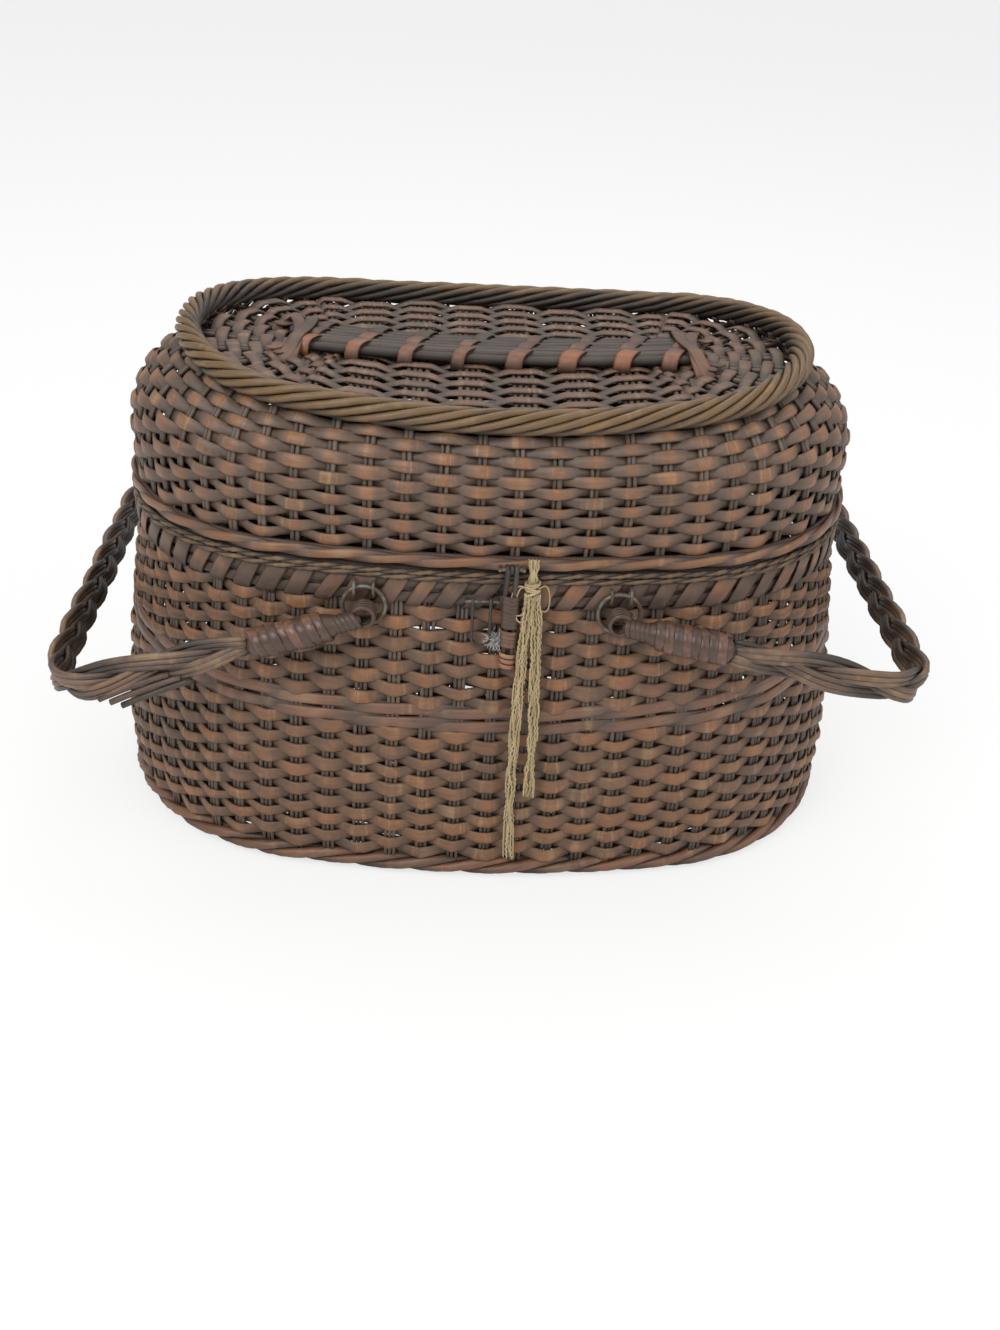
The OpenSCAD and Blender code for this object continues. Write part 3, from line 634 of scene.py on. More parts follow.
class SharedEffects:
    """The shader groups that several finishes use, each built once."""

    def __init__(self) -> None:
        """Build the groups."""
        self.strand_grain = self._strand_grain()
        self.solid_grain = self._solid_grain()
        self.aged_skin = self._aged_skin()

    @staticmethod
    def _strand_grain() -> bpy.types.NodeTree:
        """Streaks, patches and fibres that follow a strand."""
        inputs = {"Run": "float", "Edge": "float", "Face": "float", "Tone": "float"}
        board, given, put = new_group("strand_grain", inputs, GRAIN)
        shift = board.math("MULTIPLY", given["Tone"], 9.0)
        own_place = board.math("MULTIPLY", given["Tone"], 31.0)
        slow = board.vector(board.math("MULTIPLY", given["Run"], 14.0), own_place, 0.0)
        board.feed(put["Drift"], board.noise(slow, 1.0, 1.0))
        long = board.vector(
            board.math("MULTIPLY_ADD", given["Run"], 45.0, shift),
            board.math("MULTIPLY_ADD", given["Edge"], 1.6, shift),
            board.math("MULTIPLY", given["Face"], 1.6),
        )
        edgewise = board.math("MULTIPLY", given["Edge"], 0.4)
        broad = board.vector(board.math("MULTIPLY", given["Run"], 60.0), shift, edgewise)
        fine = board.vector(
            board.math("MULTIPLY_ADD", given["Run"], 260.0, shift),
            board.math("MULTIPLY", given["Edge"], 7.0),
            board.math("MULTIPLY", given["Face"], 7.0),
        )
        board.feed(put["Streak"], board.noise(long, 1.6, 4.0, 0.6))
        board.feed(put["Patch"], board.noise(broad, 1.0, 2.0))
        board.feed(put["Fibre"], board.noise(fine, 1.0, 2.0))
        return board.tree

    @staticmethod
    def _solid_grain() -> bpy.types.NodeTree:
        """The same marks for a piece that has no strand marks of its own."""
        board, given, put = new_group("solid_grain", {"Vector": "vector", "Scale": "float"}, GRAIN)
        place = board.add("ShaderNodeVectorMath", operation="SCALE")
        board.feed(place.inputs[0], given["Vector"])
        board.feed(place.inputs["Scale"], given["Scale"])
        spot = place.outputs[0]
        board.feed(put["Streak"], board.noise(spot, 3.0, 4.0, 0.65))
        board.feed(put["Patch"], board.noise(spot, 0.7, 2.0))
        board.feed(put["Fibre"], board.noise(spot, 14.0, 2.0))
        board.feed(put["Drift"], board.noise(spot, 0.2, 1.0))
        return board.tree

    @staticmethod
    def _aged_skin() -> bpy.types.NodeTree:
        """Colour, roughness and height of old willow from its place and its grain, with painted shade, partly
        grime, in the hollows and a painted highlight, partly rubbed wear, on the crests.
        """
        board, given, put = new_group(
            "aged_skin",
            {
                "Under": "colour", "Body": "colour", "Rub": "colour", "Pale": "colour",
                "Lift": "float", "Tone": "float", **GRAIN,
                "Warmth": "float", "Pale share": "float", "Gloss": "float",
            },
            {"Color": "colour", "Roughness": "float", "Height": "float"},
        )
        shift = board.math("MULTIPLY_ADD", board.math("SUBTRACT", given["Patch"], 0.5), 0.9, given["Lift"])
        shift = board.math("MULTIPLY_ADD", board.math("SUBTRACT", given["Tone"], 0.5), 0.45, shift)
        # Low Lift takes the Under colour: painted shade in the hollows, partly grime.
        base = board.mix(board.ramp(shift, 0.15, 0.8), given["Under"], given["Body"])
        # High Lift warms towards the crest colour: a painted highlight on the crests, partly rubbed wear.
        warm = board.math("MULTIPLY", board.ramp(shift, 0.62, 1.2), given["Warmth"])
        skin = board.mix(warm, base, given["Rub"])
        bleach = board.math("MULTIPLY_ADD", given["Patch"], 0.45, given["Drift"])
        bleach = board.math("MULTIPLY", board.ramp(bleach, 0.72, 1.05), given["Pale share"])
        # Pale bleached patches are kept where Lift is high, so they add to the painted highlight on the
        # crests.
        bleach = board.math("MULTIPLY", bleach, board.ramp(given["Lift"], 0.35, 0.95))
        skin = board.mix(bleach, skin, given["Pale"])
        shade = board.math("MULTIPLY_ADD", given["Streak"], 0.9, 0.545)
        shade = board.math("MULTIPLY", shade, board.math("MULTIPLY_ADD", given["Fibre"], 0.3, 0.85))
        grey = board.add("ShaderNodeCombineColor")
        for socket in grey.inputs:
            board.feed(socket, shade)
        board.feed(put["Color"], board.mix(1.0, skin, grey.outputs[0], "MULTIPLY"))
        matt = board.math("MULTIPLY_ADD", given["Gloss"], -0.4, 0.52)
        rough = board.math("MULTIPLY_ADD", given["Streak"], 0.35, matt)
        rough = board.math("MULTIPLY_ADD", given["Lift"], -0.1, rough)
        board.feed(put["Roughness"], board.math("MAXIMUM", rough, 0.22))
        fibre = board.math("MULTIPLY", given["Fibre"], 0.3)
        board.feed(put["Height"], board.math("MULTIPLY_ADD", given["Streak"], 0.7, fibre))
        return board.tree


def new_material(name: str) -> tuple[bpy.types.Material, Board, bpy.types.Node]:
    """Make a material and give it back with its board and its main shader."""
    made = bpy.data.materials.new(name)
    made.use_nodes = True
    return made, Board(made.node_tree), made.node_tree.nodes["Principled BSDF"]


def roughen(board: Board, shader: bpy.types.Node, height: object, strength: float, distance: float) -> None:
    """Feed a height through a bump node into the shader's normal."""
    bump = board.add("ShaderNodeBump")
    bump.inputs["Strength"].default_value = strength
    bump.inputs["Distance"].default_value = distance
    board.feed(bump.inputs["Height"], height)
    board.feed(shader.inputs["Normal"], bump.outputs[0])


class Marks(Enum):
    """Where a finish reads its grain from."""

    STRAND = "strand"
    SOLID = "solid"


@dataclass(frozen=True)
class WillowFinish:
    """Old willow or cane: a dull hollow that is painted shade and grime, a body colour, a rubbed crest with a
    painted highlight and now and then a pale rod.
    """

    name: str
    under: RGB
    body: RGB
    rub_and_highlight: RGB
    pale: RGB = tint(186, 160, 122)
    warmth: float = 0.85
    pale_share: float = 0.25
    gloss: float = 0.3
    bump: float = 0.35
    marks: Marks = Marks.STRAND

    def material(self, effects: SharedEffects) -> bpy.types.Material:
        """Make the material.

        Args:
            effects: the shared shader groups.

        Returns:
            The new material.
        """
        made, board, shader = new_material(self.name)
        if self.marks is Marks.STRAND:
            lift, tone = board.attribute("lift"), board.attribute("tone")
            grain = board.group(
                effects.strand_grain, Run=board.attribute("run"), Edge=board.attribute("edge"),
                Face=board.attribute("face"), Tone=tone,
            )
        else:
            place = board.add("ShaderNodeTexCoord").outputs["Object"]
            grain = board.group(effects.solid_grain, Vector=place, Scale=90.0)
            lift = board.noise(place, 35.0, 2.0)
            tone = board.noise(place, 6.0, 1.0)
        skin = board.group(
            effects.aged_skin,
            Under=self.under, Body=self.body, Rub=self.rub_and_highlight, Pale=self.pale, Lift=lift, Tone=tone,
            **{key: grain.outputs[key] for key in GRAIN},
            Warmth=self.warmth, Pale_share=self.pale_share, Gloss=self.gloss,
        )
        board.feed(shader.inputs["Base Color"], skin.outputs["Color"])
        board.feed(shader.inputs["Roughness"], skin.outputs["Roughness"])
        roughen(board, shader, skin.outputs["Height"], self.bump, 0.0006)
        return made


@dataclass(frozen=True)
class FibreFinish:
    """Matt string or fluff whose colour shifts along its threads."""

    name: str
    deep: RGB
    light: RGB
    roughness: float = 0.9

    def material(self, effects: SharedEffects) -> bpy.types.Material:
        """Make the material.

        Args:
            effects: the shared shader groups.

        Returns:
            The new material.
        """
        made, board, shader = new_material(self.name)
        tone = board.attribute("tone")
        grain = board.group(
            effects.strand_grain,
            Run=board.math("MULTIPLY", board.attribute("run"), 4.0),
            Edge=board.attribute("edge"), Face=board.attribute("face"), Tone=tone,
        )
        streak = board.math("MULTIPLY", grain.outputs["Streak"], 0.75)
        share = board.math("MULTIPLY_ADD", tone, 0.45, streak, clamp=True)
        board.feed(shader.inputs["Base Color"], board.mix(share, self.deep, self.light))
        shader.inputs["Roughness"].default_value = self.roughness
        shader.inputs["Sheen Weight"].default_value = 0.15
        roughen(board, shader, grain.outputs["Fibre"], 0.6, 0.0003)
        return made


@dataclass(frozen=True)
class WireFinish:
    """Tarnished iron wire with rust in its low spots."""

    name: str = "tarnished_wire"
    metal: RGB = tint(118, 116, 110)
    rust: RGB = tint(84, 62, 48)

    def material(self, effects: SharedEffects) -> bpy.types.Material:
        """Make the material.

        Args:
            effects: the shared shader groups.

        Returns:
            The new material.
        """
        made, board, shader = new_material(self.name)
        place = board.add("ShaderNodeTexCoord").outputs["Object"]
        grain = board.group(effects.solid_grain, Vector=place, Scale=260.0)
        rusty = board.ramp(grain.outputs["Patch"], 0.42, 0.6)
        board.feed(shader.inputs["Base Color"], board.mix(rusty, self.metal, self.rust))
        board.feed(shader.inputs["Metallic"], board.math("MULTIPLY_ADD", rusty, -0.7, 0.85))
        board.feed(shader.inputs["Roughness"], board.math("MULTIPLY_ADD", grain.outputs["Streak"], 0.3, 0.35))
        roughen(board, shader, grain.outputs["Fibre"], 0.3, 0.0002)
        return made


# Each willow finish gives a hollow colour, painted shade with some grime, a body colour and a crest colour, a
# painted highlight with some rubbed wear.
BODY_WEAVE = WillowFinish("body_weaver", tint(72, 56, 45), tint(98, 72, 53), tint(132, 88, 55), gloss=0.25)
LID_WEAVE = WillowFinish(
    "lid_weaver", tint(84, 68, 57), tint(102, 79, 63), tint(130, 88, 58), tint(160, 126, 88),
    pale_share=0.5,
)
PANEL_WEAVE = WillowFinish(
    "panel_weaver", tint(72, 61, 53), tint(84, 70, 61), tint(106, 76, 60),
    gloss=0.15,
)
STAKE = WillowFinish(
    "stake_rod", tint(68, 58, 50), tint(90, 77, 66), tint(104, 88, 75),
    warmth=0.5, pale_share=0.0, gloss=0.25,
)
LID_STAKE = WillowFinish(
    "lid_stake_rod", tint(72, 61, 52), tint(98, 84, 72), tint(112, 96, 82),
    warmth=0.5, pale_share=0.0,
)
BORDER_ROD = WillowFinish(
    "border_rod", tint(40, 34, 28), tint(66, 53, 42), tint(110, 84, 52), tint(150, 120, 78),
    gloss=0.35,
)
FOOT_ROD = WillowFinish("foot_rod", tint(56, 42, 35), tint(92, 67, 52), tint(120, 82, 58), gloss=0.35)
WALE_STRIP = WillowFinish("wale_strip", tint(62, 49, 41), tint(92, 70, 57), tint(116, 80, 60))
HOOP = WillowFinish("lid_hoop", tint(66, 50, 41), tint(96, 71, 56), tint(126, 86, 56), gloss=0.35)
WRAP = WillowFinish("rim_wrap", tint(68, 53, 43), tint(92, 70, 56), tint(128, 84, 56))
THIN_CORD = WillowFinish(
    "rim_twist", tint(52, 42, 35), tint(84, 66, 51), tint(112, 88, 62), tint(190, 162, 116),
    pale_share=0.14, gloss=0.2,
)
RIDGE_ROD = WillowFinish(
    "ridge_rod", tint(50, 43, 38), tint(70, 60, 53), tint(88, 70, 58),
    pale_share=0.0, gloss=0.2,
)
STRAP = WillowFinish("ridge_strap", tint(68, 54, 45), tint(100, 70, 54), tint(138, 84, 54), gloss=0.25)
PLAIT = WillowFinish(
    "plait_rod", tint(54, 45, 38), tint(88, 70, 58), tint(124, 96, 74), tint(158, 134, 88),
    pale_share=0.4, gloss=0.45,
)
CANE = WillowFinish(
    "end_wrap", tint(72, 54, 44), tint(108, 76, 60), tint(142, 98, 74), tint(176, 138, 102),
    gloss=0.8, pale_share=0.45,
)
DARK_LOOP = WillowFinish("dark_loop", tint(44, 37, 32), tint(64, 54, 46), tint(86, 72, 60), pale_share=0.0)
SOLID_WILLOW = WillowFinish(
    "foot_willow", tint(50, 39, 33), tint(80, 61, 48), tint(104, 74, 53),
    pale_share=0.0, marks=Marks.SOLID,
)
STRING = FibreFinish("tan_string", tint(116, 96, 64), tint(202, 180, 136))
FLUFF = FibreFinish("grey_fluff", tint(132, 130, 125), tint(206, 204, 198))
WIRE = WireFinish()


Finish = WillowFinish | FibreFinish | WireFinish


class Wardrobe:
    """Makes each finish's material once and puts it on pieces."""

    def __init__(self) -> None:
        """Start with no materials."""
        self.effects = SharedEffects()
        self.made: dict[str, bpy.types.Material] = {}

    def of(self, finish: Finish) -> bpy.types.Material:
        """The material of a finish."""
        if finish.name not in self.made:
            self.made[finish.name] = finish.material(self.effects)
        return self.made[finish.name]

    def dress(self, piece: bpy.types.Object, finish: Finish, slot: str) -> None:
        """Give a new piece its one material.

        Args:
            piece: the object.
            finish: what it wears.
            slot: not used.
        """
        piece.data.materials.clear()
        piece.data.materials.append(self.of(finish))

    def dress_node(self, node: str, finish: Finish) -> None:
        """Give a kept CAD node a better material."""
        for one in frame_objects(node):
            for place in one.material_slots:
                place.material = self.of(finish)


def frame_objects(node: str) -> list[bpy.types.Object]:
    """The Blender objects of a CAD node."""
    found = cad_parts[node]
    found = found if isinstance(found, (list, tuple)) else [found]
    return [bpy.data.objects[one] if isinstance(one, str) else one for one in found]


@dataclass
class SubAssembly:
    """What all the sub-assemblies share: a name, a body and their material wardrobe."""

    wardrobe: Wardrobe
    body: str = "basket"

    def finish_piece(
        self,
        name: str,
        parts: list[bpy.types.Object],
        finish: Finish,
        slot: str,
        *nodes: str,
        body: str = "",
    ) -> bpy.types.Object:
        """Join strands, dress them and tie them to the frame.

        Args:
            name: name of the piece.
            parts: its strands.
            finish: its finish.
            slot: the record's material slot.
            nodes: CAD nodes that it stands for.
            body: the body it rides on, where not the usual one.

        Returns:
            The finished piece.
        """
        piece = joined(name, parts)
        self.wardrobe.dress(piece, finish, slot)
        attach(piece, body or self.body)
        if nodes:
            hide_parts(*nodes)
        log.info("%s: %d strands, %d faces", name, len(parts), len(piece.data.polygons))
        return piece


# Walls


class TopEdge(Enum):
    """What a wall runs up to."""

    WALE = "wale"
    RIM = "rim"
    BORDER = "border"


@dataclass
class WovenWall(SubAssembly):
    """Rows of split weavers that pass in front of and behind bundles of thin stakes."""

    name: str = "lower_wall"
    node: str = "lower_weave"
    finish: WillowFinish = BODY_WEAVE
    profile: WallProfile = BODY_PROFILE
    rows: int = 14
    bundles: int = 66
    low_z: float = 0.0126
    low_on_wale: bool = False
    high: TopEdge = TopEdge.WALE
    wale_half: float = 0.0062
    rim_edge: float = 0.1500
    border_gap: float = 0.0052
    plan_inset: float = 0.012
    end_from: float = 0.085
    end_to: float = 0.165
    depth: float = 0.0025
    swing: float = 0.0022
    sag: float = 0.0010
    half_tall: float = 0.0037
    half_thick: float = 0.0009
    end_thin: float = 0.18
    chevron: bool = True
    sharpness: float = 0.95
    fill: float = 1.42
    uneven: float = 0.05
    steps: int = 10
    seed: int = 11

    def limits(self, share: np.ndarray) -> tuple[np.ndarray, np.ndarray]:
        """Lower and upper edge of the woven field.

        Args:
            share: places round the oval.

        Returns:
            Low and high heights.
        """
        x = PLAN.x(share, self.plan_inset)
        low = np.full_like(x, self.low_z)
        if self.low_on_wale:
            low = wale_z(x) + self.wale_half
        if self.high is TopEdge.WALE:
            top = wale_z(x) - self.wale_half
        elif self.high is TopEdge.RIM:
            top = np.full_like(x, self.rim_edge)
        else:
            top = border_z(x) - self.border_gap
        return low, top

    def wave(self, place: np.ndarray) -> np.ndarray:
        """In and out path of a weaver: sharp on the body, rounded on the lid."""
        turn = np.cos(place)
        if self.chevron:
            return np.arcsin(self.sharpness * turn) / math.asin(self.sharpness)
        return turn * (1.25 - 0.25 * turn * turn)

    def build(self) -> None:
        """Weave the wall."""
        rng = np.random.default_rng(self.seed)
        share = around(self.bundles * self.steps)
        low, high = self.limits(share)
        x = PLAN.x(share, self.plan_inset)
        ends = ease(np.abs(x), self.end_from, self.end_to)
        tall = (high - low) / self.rows * 0.5
        strands = []
        for row in range(self.rows):
            level = (row + 0.5) / self.rows + wander(rng, share, 2, 5) * self.uneven / self.rows
            middle, normal, climb = wall_frame(share, self.depth, self.profile.at(level, low, high))
            place = math.pi * (self.bundles * share + row)
            g = self.wave(place)
            swing = self.swing * (1 + 0.10 * wander(rng, share, 5, 8))
            path = middle + normal * (swing * g)[:, None]
            path = path + climb * (0.00022 * wander(rng, share, 20, 14) - self.sag * g)[:, None]
            half = np.minimum(self.half_tall, tall * self.fill) * (1 - self.end_thin * ends)
            half = half * (0.88 + 0.12 * np.abs(g)) * (1 + 0.09 * wander(rng, share, 3, 9))
            each = rng.random(self.bundles + 1)
            each[-1] = each[0]
            spread = np.interp(share * self.bundles, np.arange(self.bundles + 1), each)
            tone = 0.35 * rng.random() + 0.65 * spread
            # Painted shade where the weaver passes behind a stake bundle, partly grime, and a painted
            # highlight on its crest in front, partly rubbed wear.
            crest = np.clip(0.5 + 0.5 * g, 0, 1)
            lift = 0.05 + 0.85 * crest if self.chevron else 0.25 + 0.75 * crest**7
            strands.append(strand(path, climb, half, self.half_thick, True, 8, lift, tone, 0.8, relief=0.12))
        self.finish_piece(f"{self.name}_weave", strands, self.finish, "willow_red", self.node)


@dataclass
class StakeBundles(SubAssembly):
    """Thin upright rods, in bundles, that the weavers are worked on."""

    name: str = "wall_stakes"
    node: str = "body_stakes"
    profile: WallProfile = BODY_PROFILE
    bundles: int = 66
    rods: int = 3
    radius: float = 0.00105
    pitch: float = 0.0021
    low_z: float = 0.0065
    high: TopEdge = TopEdge.RIM
    rim_top: float = 0.1675
    border_gap: float = 0.0020
    plan_inset: float = 0.02
    depth: float = 0.0025
    rings: int = 18
    finish: WillowFinish = STAKE
    seed: int = 23

    def build(self) -> None:
        """Set the rods."""
        rng = np.random.default_rng(self.seed)
        strands = []
        for bundle in range(self.bundles):
            middle_share = bundle / self.bundles
            for rod in range(self.rods):
                slide = (rod - (self.rods - 1) / 2) * self.pitch * (1 + 0.06 * rng.normal())
                share = np.full(self.rings, middle_share + slide / PLAN.girth)
                x = PLAN.x(share[:1], self.plan_inset)[0]
                top = self.rim_top if self.high is TopEdge.RIM else border_z(x) - self.border_gap
                level = np.linspace(0, 1, self.rings)
                low = np.full(self.rings, self.low_z)
                heights = self.profile.at(level, low, np.full(self.rings, top))
                middle, normal, _ = wall_frame(share, self.depth, heights)
                side = np.cross(UP, PLAN.out(share))
                bend = 0.00018 * wander(rng, level, 1, 4)
                path = middle + side * bend[:, None] + normal * (0.00015 * rng.normal())
                thick = self.radius * (1 + 0.07 * rng.normal())
                lift = 0.25 + 0.5 * rng.random()
                strands.append(strand(path, side, thick, thick, False, 6, lift, rng.random()))
        self.finish_piece(self.name, strands, self.finish, "willow_dark", self.node)


# Borders and bands


@dataclass(frozen=True)
class Rope:
    """Rods twisted round a common middle line.

    Strips that face keep their flat side to the wall as they cross. Relief is how much lighter
    their outer side is painted than their inner side, a painted highlight.
    """

    rods: int
    half_wide: float
    half_thick: float
    twist_radius: float
    turns: float
    squash: float = 1.0
    start: float = 0.0
    facing: bool = False
    relief: float = 0.0

    def lay(
        self, rng: np.random.Generator, middle: np.ndarray, out: np.ndarray, up: np.ndarray, front: np.ndarray
    ) -> list[bpy.types.Object]:
        """Lay the rods round a line.

        Args:
            rng: seeded source.
            middle: points of the middle line.
            out: outward direction at each point.
            up: upward direction at each point.
            front: direction that counts as forward; the side of each rod facing it gets a painted highlight
                and the side away from it painted shade.

        Returns:
            The rods.
        """
        count = len(middle)
        share = around(count)
        made = []
        for rod in range(self.rods):
            angle = TURN * (self.turns * share + (rod + self.start) / self.rods)
            cos, sin = np.cos(angle)[:, None], np.sin(angle)[:, None]
            radial = out * cos + up * sin * self.squash
            radius = self.twist_radius * (1 + 0.05 * wander(rng, share, 4, 9))
            path = middle + radial * radius[:, None]
            wide_way = up if self.facing else unit(up * cos - out * sin)
            # Painted highlight on the side of each rod that faces front, painted shade on the side away from
            # it.
            lift = np.clip(0.5 + 0.62 * (unit(radial) * front).sum(1), 0, 1)
            size = 1 + 0.06 * wander(rng, share, 2, 6)
            tone = 0.2 * mottled(rng, share, 6, 8) + 0.8 * rng.random()
            wide, thick = self.half_wide * size, self.half_thick * size
            made.append(strand(path, wide_way, wide, thick, True, 8, lift, tone, 0.92, relief=self.relief))
        return made


@dataclass
class TopBorder(SubAssembly):
    """Thick twist of thin rods round the rim of the saddle-shaped top."""

    body: str = "lid"
    rope: Rope = Rope(7, 0.0018, 0.0018, 0.0046, 9, relief=0.3)
    core: float = 0.0034

    def build(self) -> None:
        """Lay the border."""
        rng = np.random.default_rng(41)
        share = around(360)
        x = PLAN.x(share, BORDER_PLAN_INSET)
        middle = PLAN.point(share, border_inset(x), border_z(x))
        out = PLAN.out(share)
        # The rods are painted lighter on their upper outer side, a painted highlight, and darker below,
        # painted shade.
        rods = self.rope.lay(rng, middle, out, UP, unit(out * 0.75 + UP * 0.66))
        # The core takes the hollow colour, painted shade between the rods.
        rods.append(strand(middle, UP, self.core, self.core, True, 8, 0.05, 0.1))
        self.finish_piece("top_border_twist", rods, BORDER_ROD, "willow_gold", "top_border")


@dataclass
class FootBorder(SubAssembly):
    """Three-strand twist round the foot."""

    rope: Rope = Rope(3, 0.0027, 0.0022, 0.0027, 13)
    inset: float = 0.0055
    z: float = 0.0062

    def build(self) -> None:
        """Lay the border."""
        rng = np.random.default_rng(43)
        share = around(300)
        middle = PLAN.point(share, self.inset, self.z)
        out = PLAN.out(share)
        rods = self.rope.lay(rng, middle, out, UP, unit(out + 0.5 * UP))
        self.finish_piece("foot_border_twist", rods, FOOT_ROD, "willow_gold", "foot_border")


@dataclass
class Wale(SubAssembly):
    """Two bands of two twisted flat strips, with a dark line between them, half way up the body."""

    spread: float = 0.0037
    depth: float = 0.0022
    plan_inset: float = 0.004

    def build(self) -> None:
        """Lay the strips."""
        rng = np.random.default_rng(47)
        share = around(480)
        x = PLAN.x(share, self.plan_inset)
        strips = []
        for side in (-1, 1):
            z = wale_z(x) + side * self.spread
            level = BODY_PROFILE.at(0.0, z, z)
            middle, normal, climb = wall_frame(share, self.depth, level)
            rope = Rope(2, 0.0031, 0.0011, 0.0008, 13, 1.2, start=0.5 * side, facing=True)
            middle = middle + climb * (0.00025 * wander(rng, share, 3, 8))[:, None]
            strips += rope.lay(rng, middle, normal, climb, normal)
        self.finish_piece("wale_strips", strips, WALE_STRIP, "willow_gold", "mid_wale")


@dataclass
class RimBinding(SubAssembly):
    """Rim hoop of the body, with two split hoops on it, under slanted flat wrappings."""

    hoop_inset: float = 0.0157
    hoop_z: float = 0.1598
    split_inset: float = 0.0134
    split_hoops: tuple[tuple[float, float], ...] = ((0.1608, 0.7), (0.1538, 0.4))
    wraps: int = 72
    half_strip: float = 0.0042
    half_thick: float = 0.0006
    slant: float = 0.0085
    slides: tuple[float, ...] = (-0.62, -0.58, -0.48, -0.3, -0.1, 0.1, 0.3, 0.48, 0.58, 0.62)
    heights: tuple[float, ...] = (
        0.1506, 0.1496, 0.1500, 0.1532, 0.1560, 0.1590, 0.1615, 0.1640, 0.1648, 0.1640,
    )
    insets: tuple[float, ...] = (
        0.0160, 0.0140, 0.0124, 0.0114, 0.0111, 0.0111, 0.0113, 0.0122, 0.0138, 0.0160,
    )

    def build(self) -> None:
        """Make the hoops and their wrappings."""
        rng = np.random.default_rng(53)
        share = around(240)
        path = PLAN.point(share, self.hoop_inset, self.hoop_z)
        hoops = [strand(path, UP, 0.0096, 0.0023, True, 12, 0.2, 0.3, 0.45)]
        for z, tone in self.split_hoops:
            path = PLAN.point(share, self.split_inset, z)
            hoops.append(strand(path, UP, 0.0030, 0.0012, True, 8, 0.3, tone, 0.8))
        self.finish_piece("rim_hoop_split", hoops, WRAP, "inner_cane", "rim_hoop")
        strips = [self.wrap(rng, i / self.wraps) for i in range(self.wraps)]
        self.finish_piece("rim_wrapping", strips, WRAP, "cane_wrap", "rim_lashing")

    def wrap(self, rng: np.random.Generator, share: float) -> bpy.types.Object:
        """One slanted strip that goes over the front of the hoop and tucks in above and below.

        Args:
            rng: seeded source.
            share: its place round the oval.

        Returns:
            The strip.
        """
        slide = np.array(self.slides) * self.slant * (1 + 0.12 * rng.normal())
        place = share + slide / PLAN.girth + 0.0006 / PLAN.girth * rng.normal()
        path = PLAN.point(place, np.array(self.insets), np.array(self.heights))
        tangent = np.cross(UP, PLAN.out(place))
        half = self.half_strip * (1 + 0.1 * rng.normal())
        bright = rng.random()
        # Painted shade at the tucked ends, lighter over the front of the hoop; how light the middle is varies
        # at random from strip to strip.
        lift = np.interp(np.arange(10), [0, 2, 5, 8, 9], [0.0, 0.35, 0.5 + 0.5 * bright, 0.3, 0.0])
        return strand(path, -tangent, half, self.half_thick, False, 8, lift, rng.random(), 0.7, False)


@dataclass
class RimCord(SubAssembly):
    """Two thin twists that lie on the rim, with bleached bits."""

    twists: tuple[tuple[float, float, float], ...] = ((0.1677, 44, 0.0114), (0.1650, 37, 0.0113))

    def build(self) -> None:
        """Lay the twists."""
        rng = np.random.default_rng(59)
        share = around(900)
        out = PLAN.out(share)
        rods = []
        for z, turns, inset in self.twists:
            middle = PLAN.point(share, inset, z + 0.0002 * wander(rng, share, 4, 9))
            rods += Rope(2, 0.0012, 0.0009, 0.00075, turns).lay(rng, middle, out, UP, out)
        self.finish_piece("rim_thin_twist", rods, THIN_CORD, "string", "rim_cord")


@dataclass
class LidBand(SubAssembly):
    """Two flat strips twisted slowly over a hoop at the foot of the lid."""

    body: str = "lid"
    rope: Rope = Rope(2, 0.0023, 0.0013, 0.0009, 18, 1.1, facing=True, relief=0.15)
    inset: float = 0.0113
    z: float = 0.1738
    hoop_inset: float = 0.0136
    hoop_z: float = 0.17365

    def build(self) -> None:
        """Wind the band round a flat hoop."""
        rng = np.random.default_rng(61)
        share = around(420)
        out = PLAN.out(share)
        parts = self.rope.lay(rng, PLAN.point(share, self.inset, self.z), out, UP, unit(out + 0.4 * UP))
        hoop = PLAN.point(share, self.hoop_inset, self.hoop_z)
        parts.append(strand(hoop, UP, 0.0034, 0.0013, True, 8, 0.1, 0.2, 0.6))
        self.finish_piece("lid_band_hoop", parts, HOOP, "willow_gold", "lid_band")


# Top, base and ridge


